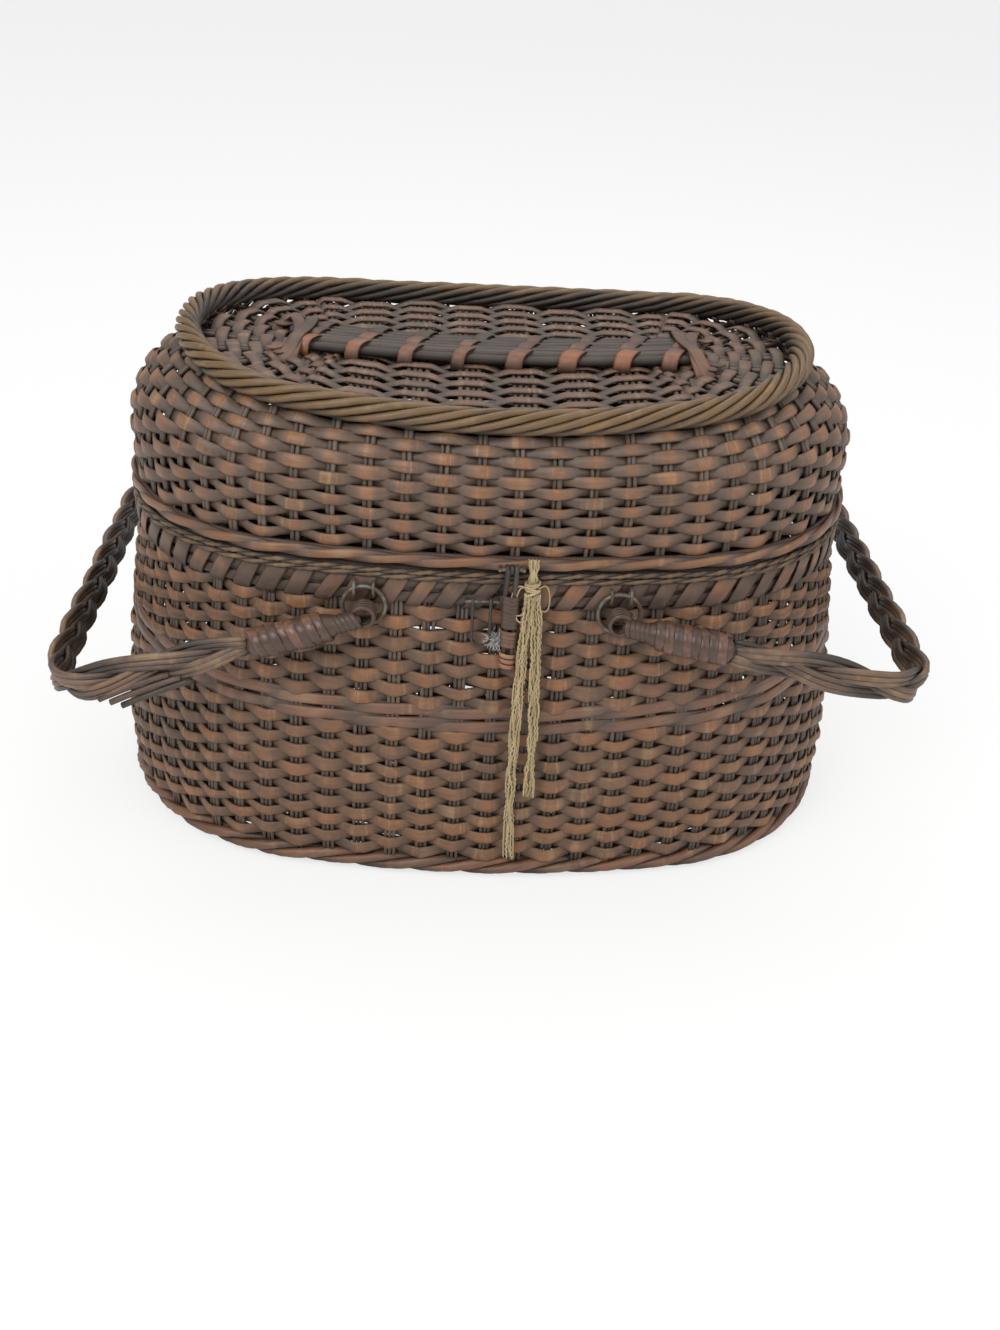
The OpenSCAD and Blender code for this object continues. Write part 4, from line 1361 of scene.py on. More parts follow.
@dataclass
class WovenPanel(SubAssembly):
    """Concentric oval rows of split weavers over stick bundles across and spokes at the ends."""

    body: str = "lid"
    name: str = "top_panel"
    nodes: tuple[str, str] = ("top_weave", "ridge_cross_sticks")
    rows: int = 12
    centre_inset: float = 0.1120
    spoke_reach: float = 0.0740
    bundle_x: tuple[float, ...] = (-0.091, -0.065, -0.039, -0.013, 0.013, 0.039, 0.065, 0.091)
    spokes: int = 9
    sticks: int = 4
    stick_radius: float = 0.00135
    stick_pitch: float = 0.0031
    stick_inset: float = 0.0315
    stick_reach: float = 0.096
    spoke_radius: float = 0.0013
    end_margin: float = 0.16
    sink: float = 0.0006
    border_gap: float = 0.0075
    row_gap: float = 0.0026
    first_crossing: float = 0.036
    crossing_span: float = 0.076
    steps: int = 8
    swing: float = 0.0021
    half_wide: float = 0.0034
    half_thick: float = 0.0009
    seed: int = 71

    def height(self, x: np.ndarray) -> np.ndarray:
        """Height of the middle of the weave."""
        return panel_z(x) - self.sink

    def edge_inset(self, share: np.ndarray) -> np.ndarray:
        """Inset of the outer edge of the panel."""
        x = PLAN.x(share, BORDER_PLAN_INSET)
        return border_inset(x) + self.border_gap

    def crossings(self, inset: float) -> np.ndarray:
        """Shares of the girth where a row crosses its bundles and spokes."""
        angles = np.linspace(-1, 1, self.spokes) * (PLAN.join - self.end_margin)
        shares = [PLAN.share_of_end(a, False) for a in angles]
        shares += [PLAN.share_at(x, inset, True) for x in self.bundle_x[::-1]]
        shares += [PLAN.share_of_end(a, True) for a in angles]
        shares += [PLAN.share_at(x, inset, False) for x in self.bundle_x]
        return np.array(shares)

    def build(self) -> None:
        """Weave the panel and lay its sticks."""
        rng = np.random.default_rng(self.seed)
        rows = [self.row(rng, i) for i in range(self.rows)]
        self.finish_piece(f"{self.name}_weave", rows, PANEL_WEAVE, "inner_cane", self.nodes[0])
        sticks = self.across(rng) + self.radiating(rng)
        self.finish_piece(f"{self.name}_sticks", sticks, STAKE, "willow_dark", self.nodes[1])

    def row(self, rng: np.random.Generator, number: int) -> bpy.types.Object:
        """One closed row.

        Args:
            rng: seeded source.
            number: 0 for the outermost row.

        Returns:
            The strand.
        """
        into = number / (self.rows - 1)
        marks = self.crossings(self.first_crossing + self.crossing_span * into)
        closed = np.r_[marks, marks[0] + 1]
        place = np.arange(len(marks) * self.steps) / self.steps
        share = np.interp(place, np.arange(len(closed)), closed)
        edge = self.edge_inset(share) + self.row_gap
        inset = edge + into * (self.centre_inset - edge)
        x = PLAN.x(share, inset)
        turn = np.cos(math.pi * (place + number))
        g = np.clip(turn * 1.35, -1, 1) * (1.1 - 0.1 * turn * turn)
        z = self.height(x) + self.swing * g + 0.0002 * wander(rng, share, 9, 9)
        inset = inset + 0.0003 * wander(rng, share, 3, 8)
        path = PLAN.point(share, inset, z)
        half = self.half_wide * (0.9 + 0.1 * np.abs(turn)) * (1 + 0.08 * wander(rng, share, 3, 8))
        # Painted highlight on the crests over the sticks, painted shade where the row dips under them.
        lift = 0.5 + 0.5 * g
        tone = mottled(rng, share, 9, 12, 0.4) * 0.6 + 0.4 * rng.random()
        return strand(path, -PLAN.out(share), half, self.half_thick, True, 8, lift, tone, 0.8)

    def across(self, rng: np.random.Generator) -> list[bpy.types.Object]:
        """Straight sticks from the front edge to the back edge."""
        made = []
        for x in self.bundle_x:
            for k in range(self.sticks):
                at = x + (k - (self.sticks - 1) / 2) * self.stick_pitch + 0.0002 * rng.normal()
                half = float(PLAN.side_y(min(abs(at), self.stick_reach), self.stick_inset))
                y, line = np.linspace(-half, half, 14), np.full(14, at)
                z = self.height(line) + 0.00015 * rng.normal()
                path = np.stack([line + 0.0003 * wander(rng, np.linspace(0, 1, 14), 1, 3), y, z], -1)
                radius = self.stick_radius * (1 + 0.06 * rng.normal())
                lift = 0.3 + 0.4 * rng.random()
                made.append(strand(path, (1, 0, 0), radius, radius, False, 6, lift, rng.random()))
        return made

    def radiating(self, rng: np.random.Generator) -> list[bpy.types.Object]:
        """Spokes that fan out at both ends, in pairs."""
        made = []
        for side in (-1, 1):
            for angle in np.linspace(-1, 1, self.spokes) * (PLAN.join - self.end_margin):
                for pair in (-1, 1):
                    way = np.array([math.cos(angle) * side, math.sin(angle) * side, 0.0])
                    across = np.array([-way[1], way[0], 0.0])
                    start = np.array([side * PLAN.end_centre, 0.0, 0.0]) + across * pair * 0.0012
                    reach = np.linspace(0.012, self.spoke_reach, 12)
                    spread = pair * 0.0009 * np.linspace(0, 1, 12)
                    path = start + way * reach[:, None] + across * spread[:, None]
                    path[:, 2] = self.height(path[:, 0]) + 0.0001 * rng.normal()
                    radius, lift = self.spoke_radius, 0.3 + 0.3 * rng.random()
                    made.append(strand(path, across, radius, radius, False, 6, lift, rng.random()))
        return made


@dataclass
class BasePanel(WovenPanel):
    """The same weave laid flat for the floor of the basket."""

    body: str = "basket"
    name: str = "base_panel"
    nodes: tuple[str, str] = ("base_weave", "base_cross_sticks")
    rows: int = 13
    first_inset: float = 0.0085
    spoke_reach: float = 0.1050
    half_wide: float = 0.0058
    swing: float = 0.0016
    seed: int = 73
    level_z: float = 0.0083

    def height(self, x: np.ndarray) -> np.ndarray:
        """The floor is level."""
        return np.full_like(x, self.level_z)

    def edge_inset(self, share: np.ndarray) -> np.ndarray:
        """The floor's edge follows the foot."""
        return np.full_like(share, self.first_inset)


@dataclass
class Ridge(SubAssembly):
    """Long rods side by side over the middle of the top, strapped down with split cane."""

    body: str = "lid"
    rods: int = 7
    rod_radius: float = 0.0024
    rod_pitch: float = 0.0049
    half_length: float = 0.104
    rise: float = 0.0060
    outer_y: float = 0.0125
    outer_drop: float = 0.0009
    tie_x: float = 0.0985
    tie_reach: float = 0.030
    strip_thick: float = 0.00055
    strap_x: tuple[float, ...] = (-0.094, -0.068, -0.043, -0.016, 0.012, 0.039, 0.065, 0.089)
    strap_rows: tuple[tuple[float, float], ...] = ((-0.0130, 0.0058), (-0.0010, 0.0056), (0.0100, 0.0054))
    strap_way: tuple[float, ...] = (-1.16, -1.14, -1.0, -0.72, -0.3, 0.15, 0.55, 0.85, 1.05, 1.1)
    strap_heights: tuple[float, ...] = (
        -0.0055, -0.002, 0.0009, 0.0026, 0.00315, 0.00315, 0.0029, 0.002, 0.0002, -0.002,
    )
    strap_lift: tuple[float, ...] = (0.3, 0.7, 1.0, 1.0, 0.9, 0.8, 0.7, 0.5, 0.2, 0.0)

    def top_z(self, x: np.ndarray | float) -> np.ndarray | float:
        """Height of the middle of the rods."""
        return panel_z(x) + self.rise

    def build(self) -> None:
        """Lay the rods, the straps and the end ties."""
        rng = np.random.default_rng(79)
        rods = []
        for i in range(self.rods):
            y = (i - (self.rods - 1) / 2) * self.rod_pitch
            reach = self.half_length * (1 - 0.02 * rng.random())
            x = np.linspace(-reach, reach, 30)
            share = np.linspace(0, 1, 30)
            z = self.top_z(x) + 0.0002 * wander(rng, share, 1, 4) - self.outer_drop * (abs(y) > self.outer_y)
            path = np.stack([x, y + 0.0003 * wander(rng, share, 1, 4), z], -1)
            radius = self.rod_radius * (1 + 0.05 * rng.normal())
            lift = 0.35 + 0.4 * rng.random()
            rods.append(strand(path, (0, 1, 0), radius, radius, False, 10, lift, rng.random()))
        self.finish_piece("ridge_long_rods", rods, RIDGE_ROD, "willow_dark", "ridge_sticks")
        straps = [self.strap(rng, x, row) for x in self.strap_x for row in range(3)]
        self.finish_piece("ridge_cane_straps", straps, STRAP, "cane_wrap", "ridge_straps")
        self.finish_piece("ridge_end_lashings", self.ties(rng), STRAP, "cane_wrap", "ridge_end_ties")

    def strap(self, rng: np.random.Generator, x: float, row: int) -> bpy.types.Object:
        """One slanted turn of split cane that comes up between the rods and goes down again.

        Args:
            rng: seeded source.
            x: where its front turn lies.
            row: 0 over the front rods, 1 over the middle ones, 2 over the back ones.

        Returns:
            The turn.
        """
        middle, half = self.strap_rows[row]
        drop = np.array(self.strap_heights)
        y = middle + half * np.array(self.strap_way)
        line = x + 0.0042 * row + 0.55 * (y - middle) + 0.0008 * rng.normal()
        path = np.stack([line, y, self.top_z(line) + drop], -1)
        # Painted highlight where the strap passes over the rods, painted shade where it dips down between
        # them and on the back rows.
        lift = np.array(self.strap_lift) - 0.28 * row
        half_strip = (0.0040 - 0.0004 * row) * (1 + 0.12 * rng.normal())
        thick, way = self.strip_thick, (-1.0, 0.2, 0.0)
        return strand(path, way, half_strip, thick, False, 8, lift, rng.random(), 0.7, False)

    def ties(self, rng: np.random.Generator) -> list[bpy.types.Object]:
        """Wide strips over each end of the ridge, with tails that splay out to the panel."""
        made = []
        for side in (-1, 1):
            for k, slant in ((0, 0.10), (1, -0.16)):
                x0 = side * (self.tie_x - 0.004 * k)
                y = np.linspace(-self.tie_reach, self.tie_reach, 15)
                share = np.abs(y) / self.tie_reach
                x = x0 + y * slant * side + side * 0.006 * share**2
                ground = panel_z(x) + 0.0032
                over = self.top_z(x) + self.rod_radius + 0.0008 + 0.0010 * k
                z = over + (ground - over) * ease(np.abs(y), 0.0145, 0.0275)
                z[[0, -1]] -= 0.0030
                path = np.stack([x, y, z], -1)
                thick, lift = self.strip_thick, 0.35 + 0.4 * share
                made.append(strand(path, (-1, 0, 0), 0.0033, thick, False, 8, lift, rng.random(), 0.7, False))
            for angle in (-0.9, -0.45, 0.45, 0.9):
                reach = np.linspace(0, 1, 9)
                start = np.array([side * 0.0965, 0.013 * math.copysign(1, angle), 0.0])
                way = np.array([side * math.cos(angle), math.sin(angle), 0.0])
                path = start + way * (reach * 0.019)[:, None]
                low = panel_z(path[:, 0]) + 0.0034
                high = self.top_z(path[:, 0]) + self.rod_radius * 0.6
                path[:, 2] = high + (low - high) * ease(reach, 0.05, 0.75)
                across = np.array([way[1], -way[0], 0.0])
                lift = 0.4 + 0.3 * rng.random()
                made.append(strand(path, across, 0.0026, 0.0006, False, 8, lift, rng.random(), 0.7))
        return made


# Handles


class Side(Enum):
    """Which bail handle."""

    LEFT = "left"
    RIGHT = "right"


@dataclass
class BailHandle(SubAssembly):
    """Plaited bail: three flat strands of rods, wrapped ends and a cane eye round each wire ring."""

    side: Side = Side.LEFT
    pivot_x: float = 0.060
    pivot_z: float = 0.148
    arm_y: float = 0.1247
    reach: float = 0.156
    corner: float = 0.026
    braid_start: float = 0.0551
    wrap_start: float = 0.016
    wrap_length: float = 0.038
    wrap_radius: float = 0.0072
    neck_radius: float = 0.0040
    eye_radius: float = 0.0050
    core_at: tuple[float, ...] = (0.0, 0.006, 0.013, 0.017, 0.052, 0.055)
    core_radii: tuple[float, ...] = (0.003, 0.0042, 0.0042, 0.0066, 0.0066, 0.0052)
    plait_wide: float = 0.0052
    plait_deep: float = 0.0022
    loose_lay: float = 0.150
    lay_change: float = 0.072
    lay_from: float = 0.060
    lay_to: float = 0.120
    taper_length: float = 0.045
    rod_radius: float = 0.00162
    rod_pitch: float = 0.00265

    @property
    def droop(self) -> float:
        """Angle of the bail below level at rest."""
        return math.radians(17 if self.side is Side.LEFT else 12)

    def set_in_place(self, points: np.ndarray) -> np.ndarray:
        """Turn points drawn with the pivot at the origin into their real place."""
        angle = math.pi - self.droop if self.side is Side.LEFT else self.droop
        x, y, z = points.T
        sign = -1 if self.side is Side.LEFT else 1
        turned_x = x * math.cos(angle) + z * math.sin(angle) + sign * self.pivot_x
        turned_z = -x * math.sin(angle) + z * math.cos(angle) + self.pivot_z
        return np.stack([turned_x, y, turned_z], -1)

    def turned(self, ways: np.ndarray) -> np.ndarray:
        """Turn directions in the same way."""
        origin = self.set_in_place(np.zeros((1, 3)))
        return self.set_in_place(np.asarray(ways, float)) - origin

    def bail(self, count: int) -> tuple[np.ndarray, np.ndarray, np.ndarray]:
        """Points, outward directions and run lengths of the bail's middle line."""
        arm = self.reach - self.corner - self.braid_start
        bend = self.corner * math.pi / 2
        grip = 2 * (self.arm_y - self.corner)
        whole = 2 * arm + 2 * bend + grip
        run = np.linspace(0, whole, count)
        rows = []
        for s in run:
            if s < arm:
                rows.append((self.braid_start + s, -self.arm_y, 0, -1))
            elif s < arm + bend:
                a = (s - arm) / self.corner
                x = self.reach - self.corner * (1 - math.sin(a))
                y = -self.arm_y + self.corner * (1 - math.cos(a))
                rows.append((x, y, math.sin(a), -math.cos(a)))
            elif s < arm + bend + grip:
                rows.append((self.reach, -self.arm_y + self.corner + s - arm - bend, 1, 0))
            elif s < whole - arm:
                a = (s - arm - bend - grip) / self.corner
                x = self.reach - self.corner * (1 - math.cos(a))
                y = self.arm_y - self.corner * (1 - math.sin(a))
                rows.append((x, y, math.cos(a), math.sin(a)))
            else:
                rows.append((self.braid_start + whole - s, self.arm_y, 0, 1))
        x, y, out_x, out_y = np.array(rows, float).T
        level = np.zeros(count)
        return np.stack([x, y, level], -1), np.stack([out_x, out_y, level], -1), run

    def build(self) -> None:
        """Plait the bail and wrap its ends."""
        rng = np.random.default_rng(83 if self.side is Side.LEFT else 89)
        middle, out, run = self.bail(240)
        whole = run[-1]
        near = np.minimum(run, whole - run)
        lay = self.loose_lay - self.lay_change * ease(near, self.lay_from, self.lay_to)
        phase = np.r_[0, np.cumsum(np.diff(run) / lay[1:])]
        taper = 0.60 + 0.40 * np.sin(math.pi / 2 * np.minimum(1, near / self.taper_length))
        rods = []
        for k in range(3):
            turn = TURN * (phase + k / 3)
            line = middle + out * (self.plait_deep * np.sin(2 * turn))[:, None]
            line = line + UP * (taper * self.plait_wide * np.sin(turn))[:, None]
            along = unit(np.gradient(line, axis=0))
            side = unit(np.cross(out, along))
            for j in (-1, 0, 1):
                offset = j * self.rod_pitch * taper * (1 + 0.05 * wander(rng, run / whole, 3, 6))
                path = line + side * offset[:, None]
                stand = 0.0005 * (1 - abs(j)) + 0.00025 * wander(rng, run / whole, 4, 8)
                path = path + out * stand[:, None]
                # Painted highlight where a strand bulges outward, painted shade where it dips between the
                # others.
                lift = 0.5 + 0.42 * np.sin(2 * turn)
                radius = self.rod_radius * (1 + 0.07 * rng.normal())
                tone = 0.25 * mottled(rng, run / whole, 3, 8) + 0.75 * rng.random()
                path, way = self.set_in_place(path), self.turned(side)
                rods.append(strand(path, way, radius, radius, False, 7, lift, tone))
        rods += self.loose_ends(rng)
        name = f"{self.side.value}_handle"
        self.finish_piece(f"{name}_plait", rods, PLAIT, "inner_cane", f"{name}_braid")
        ends = [part for end in (-1, 1) for part in self.wrapped_end(rng, end)]
        self.finish_piece(f"{name}_wrapping", ends, CANE, "cane_wrap", f"{name}_ends")

    def loose_ends(self, rng: np.random.Generator) -> list[bpy.types.Object]:
        """Cut rod ends that stand off the lower corner of the left bail."""
        if self.side is Side.RIGHT:
            return []
        made = []
        share = np.linspace(0, 1, 10)
        for k in range(3):
            x = self.reach - 0.060 + 0.036 * share - 0.005 * k
            y = np.full(10, -self.arm_y - 0.0015 - 0.0008 * k) - 0.001 * share
            z = (0.0045 + 0.0026 * k) + 0.004 * share**1.5
            path = self.set_in_place(np.stack([x, y, z], -1))
            made.append(strand(path, (0, 1, 0), 0.0017, 0.0016, False, 7, 0.5, rng.random(), 1.0, False))
        return made

    def wrapped_end(self, rng: np.random.Generator, end: int) -> list[bpy.types.Object]:
        """Cane wound over the strands, a neck and the eye round the wire ring.

        Args:
            rng: seeded source.
            end: -1 for the front arm, 1 for the back arm.

        Returns:
            The windings.
        """
        made = []
        centre = np.array([0.0, end * self.arm_y, 0.0])
        axis = np.array([1.0, 0.0, 0.0])
        top = self.wrap_start + self.wrap_length - 0.0015
        for first, last, radius, coils, half, light in (
            (self.wrap_start + 0.002, top, self.wrap_radius, 8, 0.00250, 0.6),
            (0.003, self.wrap_start - 0.001, self.neck_radius, 5, 0.0014, -0.3),
        ):
            share = np.linspace(0, 1, coils * 14)
            angle = TURN * coils * share + 1.1
            tuck = 1 - 0.07 * ease(np.abs(share - 0.5), 0.36, 0.5)
            swell = radius * (1 + 0.03 * wander(rng, share, 2, 6)) * tuck
            run = first + (last - first) * share + 0.0012 * np.cos(angle + 0.6)
            ring = np.stack([run, np.cos(angle) * swell, np.sin(angle) * swell], -1)
            # light sets how pale each band is; the sine term paints one side of each coil lighter, a painted
            # highlight.
            lift = light + 0.3 * np.sin(angle + 2.0) + 0.15 * wander(rng, share, 5, 9)
            path = self.set_in_place(ring + centre)
            tone = 0.4 + 0.35 * wander(rng, share, 2, 6)
            made.append(strand(path, self.turned(axis[None])[0], half, 0.0007, False, 8, lift, tone, 0.75))
        run = np.linspace(0.001, self.braid_start + 0.001, 16)
        girth = np.interp(run, self.core_at, self.core_radii)
        core = self.set_in_place(np.stack([run, np.zeros(16), np.zeros(16)], -1) + centre)
        made.append(strand(core, self.turned(UP[None])[0], girth, girth, False, 12, 0.2, 0.3))
        angle = around(28) * TURN
        for k in range(4):
            depth = end * (self.arm_y - 0.0008 - k * 0.0024)
            x, z = np.cos(angle) * self.eye_radius, np.sin(angle) * self.eye_radius
            path = self.set_in_place(np.stack([x, np.full(28, depth), z], -1))
            made.append(strand(path, (0, 1, 0), 0.0013, 0.0012, True, 7, -0.3, rng.random()))
        return made


# Hinge, latch, string


@dataclass
class HingeLoops(SubAssembly):
    """Cane loops through the rim and the lid band at the back."""

    loop_x: float = 0.030
    hinge_y: float = 0.118
    hinge_z: float = 0.170
    radius: float = 0.010

    def build(self) -> None:
        """Wind the loops."""
        rng = np.random.default_rng(97)
        made = []
        out, across = ring_about_x(48, 1.0), np.array([1.0, 0.0, 0.0])
        for side in (-1, 1):
            middle = ring_about_x(48, self.radius, (side * self.loop_x, self.hinge_y, self.hinge_z))
            made += Rope(2, 0.0007, 0.0006, 0.00055, 5).lay(rng, middle, out, across, out)
        self.finish_piece("hinge_cane_loops", made, STRAP, "cane_wrap", "hinge_loops")


@dataclass
class Latch(SubAssembly):
    """Wrapped hasp on the lid, thin keeper loop and grey tuft on the body."""

    hasp_x: float = 0.008
    hasp_y: float = -0.121
    hasp_z: float = 0.1736
    hasp_length: float = 0.052
    keeper_x: float = -0.005
    keeper_y: float = -0.1194
    keeper_z: float = 0.156
    keeper_length: float = 0.024
    keeper_half: float = 0.0042
    fibres: int = 90
    tuft_limit_x: float = 0.0042
    tuft_limits_y: tuple[float, float] = (-0.1240, -0.1165)
    tuft_root: tuple[float, float, float] = (0.0030, -0.1178, 0.1365)
    tuft_hang: tuple[float, float, float] = (-0.25, -0.35, -0.35)
    hasp_rod: float = 0.00125
    hasp_half: float = 0.00185
    leg_forward: float = 0.0018
    winding_wide: float = 0.0036
    winding_deep: float = 0.0021
    windings: tuple[tuple[float, float, int, float], ...] = (
        (-0.0500, -0.0415, 3, 1.0), (-0.0385, -0.0300, 4, 0.35), (-0.0285, -0.0120, 8, -0.3),
    )

    @staticmethod
    def u_path(x: float, y: float, z: float, half: float, length: float, count: int) -> np.ndarray:
        """Line of a hanging loop, down one leg and up the other.

        Args:
            x: middle of the loop.
            y: its place from front to back.
            z: its upper end.
            half: half its width.
            length: its length down.
            count: about how many points it has.

        Returns:
            The points.
        """
        straight = length - half
        turn = np.linspace(0, math.pi, count // 3)
        down = np.linspace(0, -straight, count // 3, endpoint=False)
        rows = [(x - half, y, z + d) for d in down]
        rows += [(x - half * math.cos(a), y, z - straight - half * math.sin(a)) for a in turn]
        rows += [(x + half, y, z + d) for d in down[::-1]]
        return np.array(rows)

    def build(self) -> None:
        """Make the hasp, its windings, the keeper and the tuft."""
        rng = np.random.default_rng(101)
        leg_y, top = self.hasp_y - self.leg_forward, self.hasp_z + 0.0012
        path = self.u_path(self.hasp_x, leg_y, top, self.hasp_half, self.hasp_length - 0.0003, 48)
        share = np.linspace(0, 1, len(path))
        bend = 0.0004 * wander(rng, share, 1, 5)
        path[:, 0] += bend
        lift, wire = 0.4 + 0.3 * wander(rng, share, 3, 6), self.hasp_rod
        loop = [strand(path, (0, 1, 0), wire, wire, False, 8, lift, 0.5)]
        for dx in (-0.0022, 0.0, 0.0022):
            ring = ring_about_x(20, 0.0019, (self.hasp_x + dx, self.hasp_y, self.hasp_z))
            loop.append(strand(ring, (1, 0, 0), 0.0010, 0.0007, True, 7, 0.5, rng.random()))
        self.finish_piece("hasp_twisted_loop", loop, DARK_LOOP, "inner_cane", "hasp_loop", body="hasp")
        winding = []
        for low, high, coils, light in self.windings:
            t = np.linspace(0, 1, coils * 12)
            turn = TURN * coils * t
            x = self.hasp_x + self.winding_wide * np.cos(turn)
            y = leg_y - self.winding_deep * np.sin(turn)
            ring = np.stack([x, y, self.hasp_z + low + (high - low) * t], -1)
            # light sets how pale each band is; the sine term paints the front of each coil lighter, a painted
            # highlight.
            lift = light + 0.2 * np.sin(turn)
            winding.append(strand(ring, (0, 0, 1), 0.00120, 0.00045, False, 7, lift, rng.random(), 0.8))
        self.finish_piece("hasp_cane_winding", winding, CANE, "cane_wrap", "hasp_wraps", body="hasp")
        x, y, z, half = self.keeper_x, self.keeper_y, self.keeper_z, self.keeper_half
        path = self.u_path(x, y, z, half, self.keeper_length, 42)
        keeper = [strand(path, (0, 1, 0), 0.0008, 0.0008, False, 7, 0.5, 0.5)]
        for side in (-1, 1):
            ring = ring_about_x(20, 0.0013, (x + side * half, y, z))
            keeper.append(strand(ring, (1, 0, 0), 0.0007, 0.0006, True, 7, 0.5, rng.random()))
        self.finish_piece("keeper_thin_loop", keeper, DARK_LOOP, "inner_cane", "keeper_loop", body="keeper")
        self.finish_piece("grey_tuft_fibres", self.tuft(rng), FLUFF, "tuft", "frayed_tuft")

    def tuft(self, rng: np.random.Generator) -> list[bpy.types.Object]:
        """Short loose fibres in a ball."""
        made = []
        root, hang = np.array(self.tuft_root), np.array(self.tuft_hang)
        for _ in range(self.fibres):
            way = unit(hang + 0.75 * rng.normal(size=3))
            share = np.linspace(0, 1, 8)
            curl = np.cross(way, unit(rng.normal(size=3)))
            reach = 0.0042 + 0.0036 * rng.random()
            bend = 0.0016 * np.sin(share * (1.5 + 2.5 * rng.random()))
            path = root + way * (share * reach)[:, None] + curl * bend[:, None]
            path[:, 0] = np.minimum(path[:, 0], self.tuft_limit_x)
            path[:, 1] = np.clip(path[:, 1], *self.tuft_limits_y)
            made.append(strand(path, (0, 0, 1), 0.00017, 0.00017, False, 4, 0.5, rng.random()))
        return made


LEFT_ROUTE = np.array([
    [15.9, -122.2, 162.5], [15.9, -122.3, 156], [15.6, -123, 147], [15.2, -124.2, 137],
    [14.8, -125.6, 127], [14.2, -127, 117], [13.8, -128.3, 107], [13.4, -129.4, 98], [13.2, -130, 89],
    [13, -130.2, 79], [13, -130.2, 69], [13, -130.2, 59], [13.1, -130.2, 49], [13.3, -130.2, 39],
    [13.6, -130.2, 29], [14, -130.2, 20],
]) / 1000
RIGHT_ROUTE = np.array([
    [20.1, -122.2, 162.5], [20.3, -122.4, 156], [20.7, -123.2, 146], [21.1, -124.6, 135],
    [21.4, -126.2, 124], [21.6, -127.8, 113], [21.8, -129.3, 102], [21.9, -130, 92], [22, -130.2, 82],
    [22, -130.2, 74], [22, -130.2, 66], [22, -130.2, 58],
]) / 1000


@dataclass
class StringTails(SubAssembly):
    """Tan string tied to the lid band: knot, loops and two tails of crimped threads."""

    body: str = "lid"
    diameter: float = 0.004
    thread: float = 0.00045
    threads: int = 15
    lane_pitch: float = 0.00088
    layer_pitch: float = 0.0009
    half_lane: float = 0.0024
    depth_limits: tuple[float, float] = (-0.0019, 0.0013)
    knot_x: float = 0.018
    knot_y: float = -0.1213

    def tail(self, name: str, route: np.ndarray, node: str, seed: int, fray: float) -> None:
        """One tail of crimped threads that hang side by side along its route.

        Args:
            name: name of the piece.
            route: points of the route.
            node: CAD node that it stands for.
            seed: seed of its small irregularities.
            fray: length of the loose end.
        """
        rng = np.random.default_rng(seed)
        run = np.r_[0, np.cumsum(np.linalg.norm(np.diff(route, axis=0), axis=1))]
        length = float(run[-1])
        s = np.linspace(0, length, int(length / 0.0007))
        middle = np.stack([np.interp(s, run, route[:, k]) for k in range(3)], -1)
        loose = ease(s, length - fray, length)
        narrow = 1 - 0.4 * np.exp(-(((s - length * 0.80) / 0.010) ** 2)) - 0.25 * ease(-s, -0.010, 0.0)
        parts = []
        for k in range(self.threads):
            lane, layer = (k % 5 - 2) * self.lane_pitch, (k // 5 - 1.0) * self.layer_pitch
            crimp = 0.00036 * np.sin(TURN * s / (0.0030 + 0.0004 * rng.random()) + TURN * rng.random())
            drift = 0.0007 * wander(rng, s / length, 1, 7)
            side = (lane * (1 + 0.5 * loose) + drift) * narrow + crimp + 0.0010 * loose * rng.normal()
            deep = layer * narrow + 0.0003 * wander(rng, s / length, 2, 8) + 0.0001 * rng.normal()
            drop = np.zeros_like(s) - 0.004 * rng.random() * loose
            side = np.clip(side, -self.half_lane, self.half_lane)
            deep = np.clip(deep, *self.depth_limits)
            path = middle + np.stack([side, deep, drop], -1)
            parts.append(strand(path, (1, 0, 0), self.thread, self.thread, False, 5, 0.5, rng.random()))
        piece = self.finish_piece(name, parts, STRING, "string", node)

    def knot(self) -> None:
        """The tied part above the tails."""
        rng = np.random.default_rng(107)
        parts = []
        for k in range(9):
            t = np.linspace(0, 1, 14)
            waist = 0.55 + 0.45 * np.abs(2 * t - 1)
            x = self.knot_x + 0.0024 * (k - 4) / 4 * waist + 0.0003 * wander(rng, t, 1, 4)
            y = self.knot_y + 0.0021 * ease(t, 0.35, 0.8) + 0.0005 * math.cos(k * 2.1)
            z = 0.1640 + 0.0142 * t
            path = np.stack([x, y, z], -1)
            parts.append(strand(path, (1, 0, 0), 0.00048, 0.00048, False, 5, 0.5, rng.random()))
        for k in range(5):
            angle = np.linspace(0, TURN * 0.98, 26)
            lean = 0.0016 * math.cos(k * 1.9)
            x = self.knot_x + 0.0034 * np.cos(angle)
            y = self.knot_y + 0.0027 * np.sin(angle)
            z = 0.1628 + 0.0011 * k + lean * np.cos(angle)
            path = np.stack([x, y, z], -1)
            parts.append(strand(path, (0, 0, 1), 0.0006, 0.0006, False, 6, 0.6, rng.random()))
        for side, size, drop in ((-1, 0.0080, 0.013), (1, 0.0060, 0.010), (-1, 0.0055, 0.017)):
            t = np.linspace(0, 1, 30)
            x = self.knot_x + side * (0.0028 + size * np.sin(math.pi * t) * (0.75 + 0.25 * t))
            y = -0.1236 + 0.0006 * np.sin(TURN * t)
            z = 0.1655 + 0.0035 * np.sin(TURN * t) - drop * t
            path = np.stack([x, y, z], -1)
            parts.append(strand(path, (0, 1, 0), 0.00036, 0.00036, False, 5, 0.6, rng.random()))
        self.finish_piece("string_tied_knot", parts, STRING, "string", "string_knot")

    def build(self) -> None:
        """Make both tails and the knot."""
        self.tail("string_long_tail", LEFT_ROUTE, "string_left_tail", 103, 0.022)
        self.tail("string_short_tail", RIGHT_ROUTE, "string_right_tail", 105, 0.014)
        self.knot()


# Stage


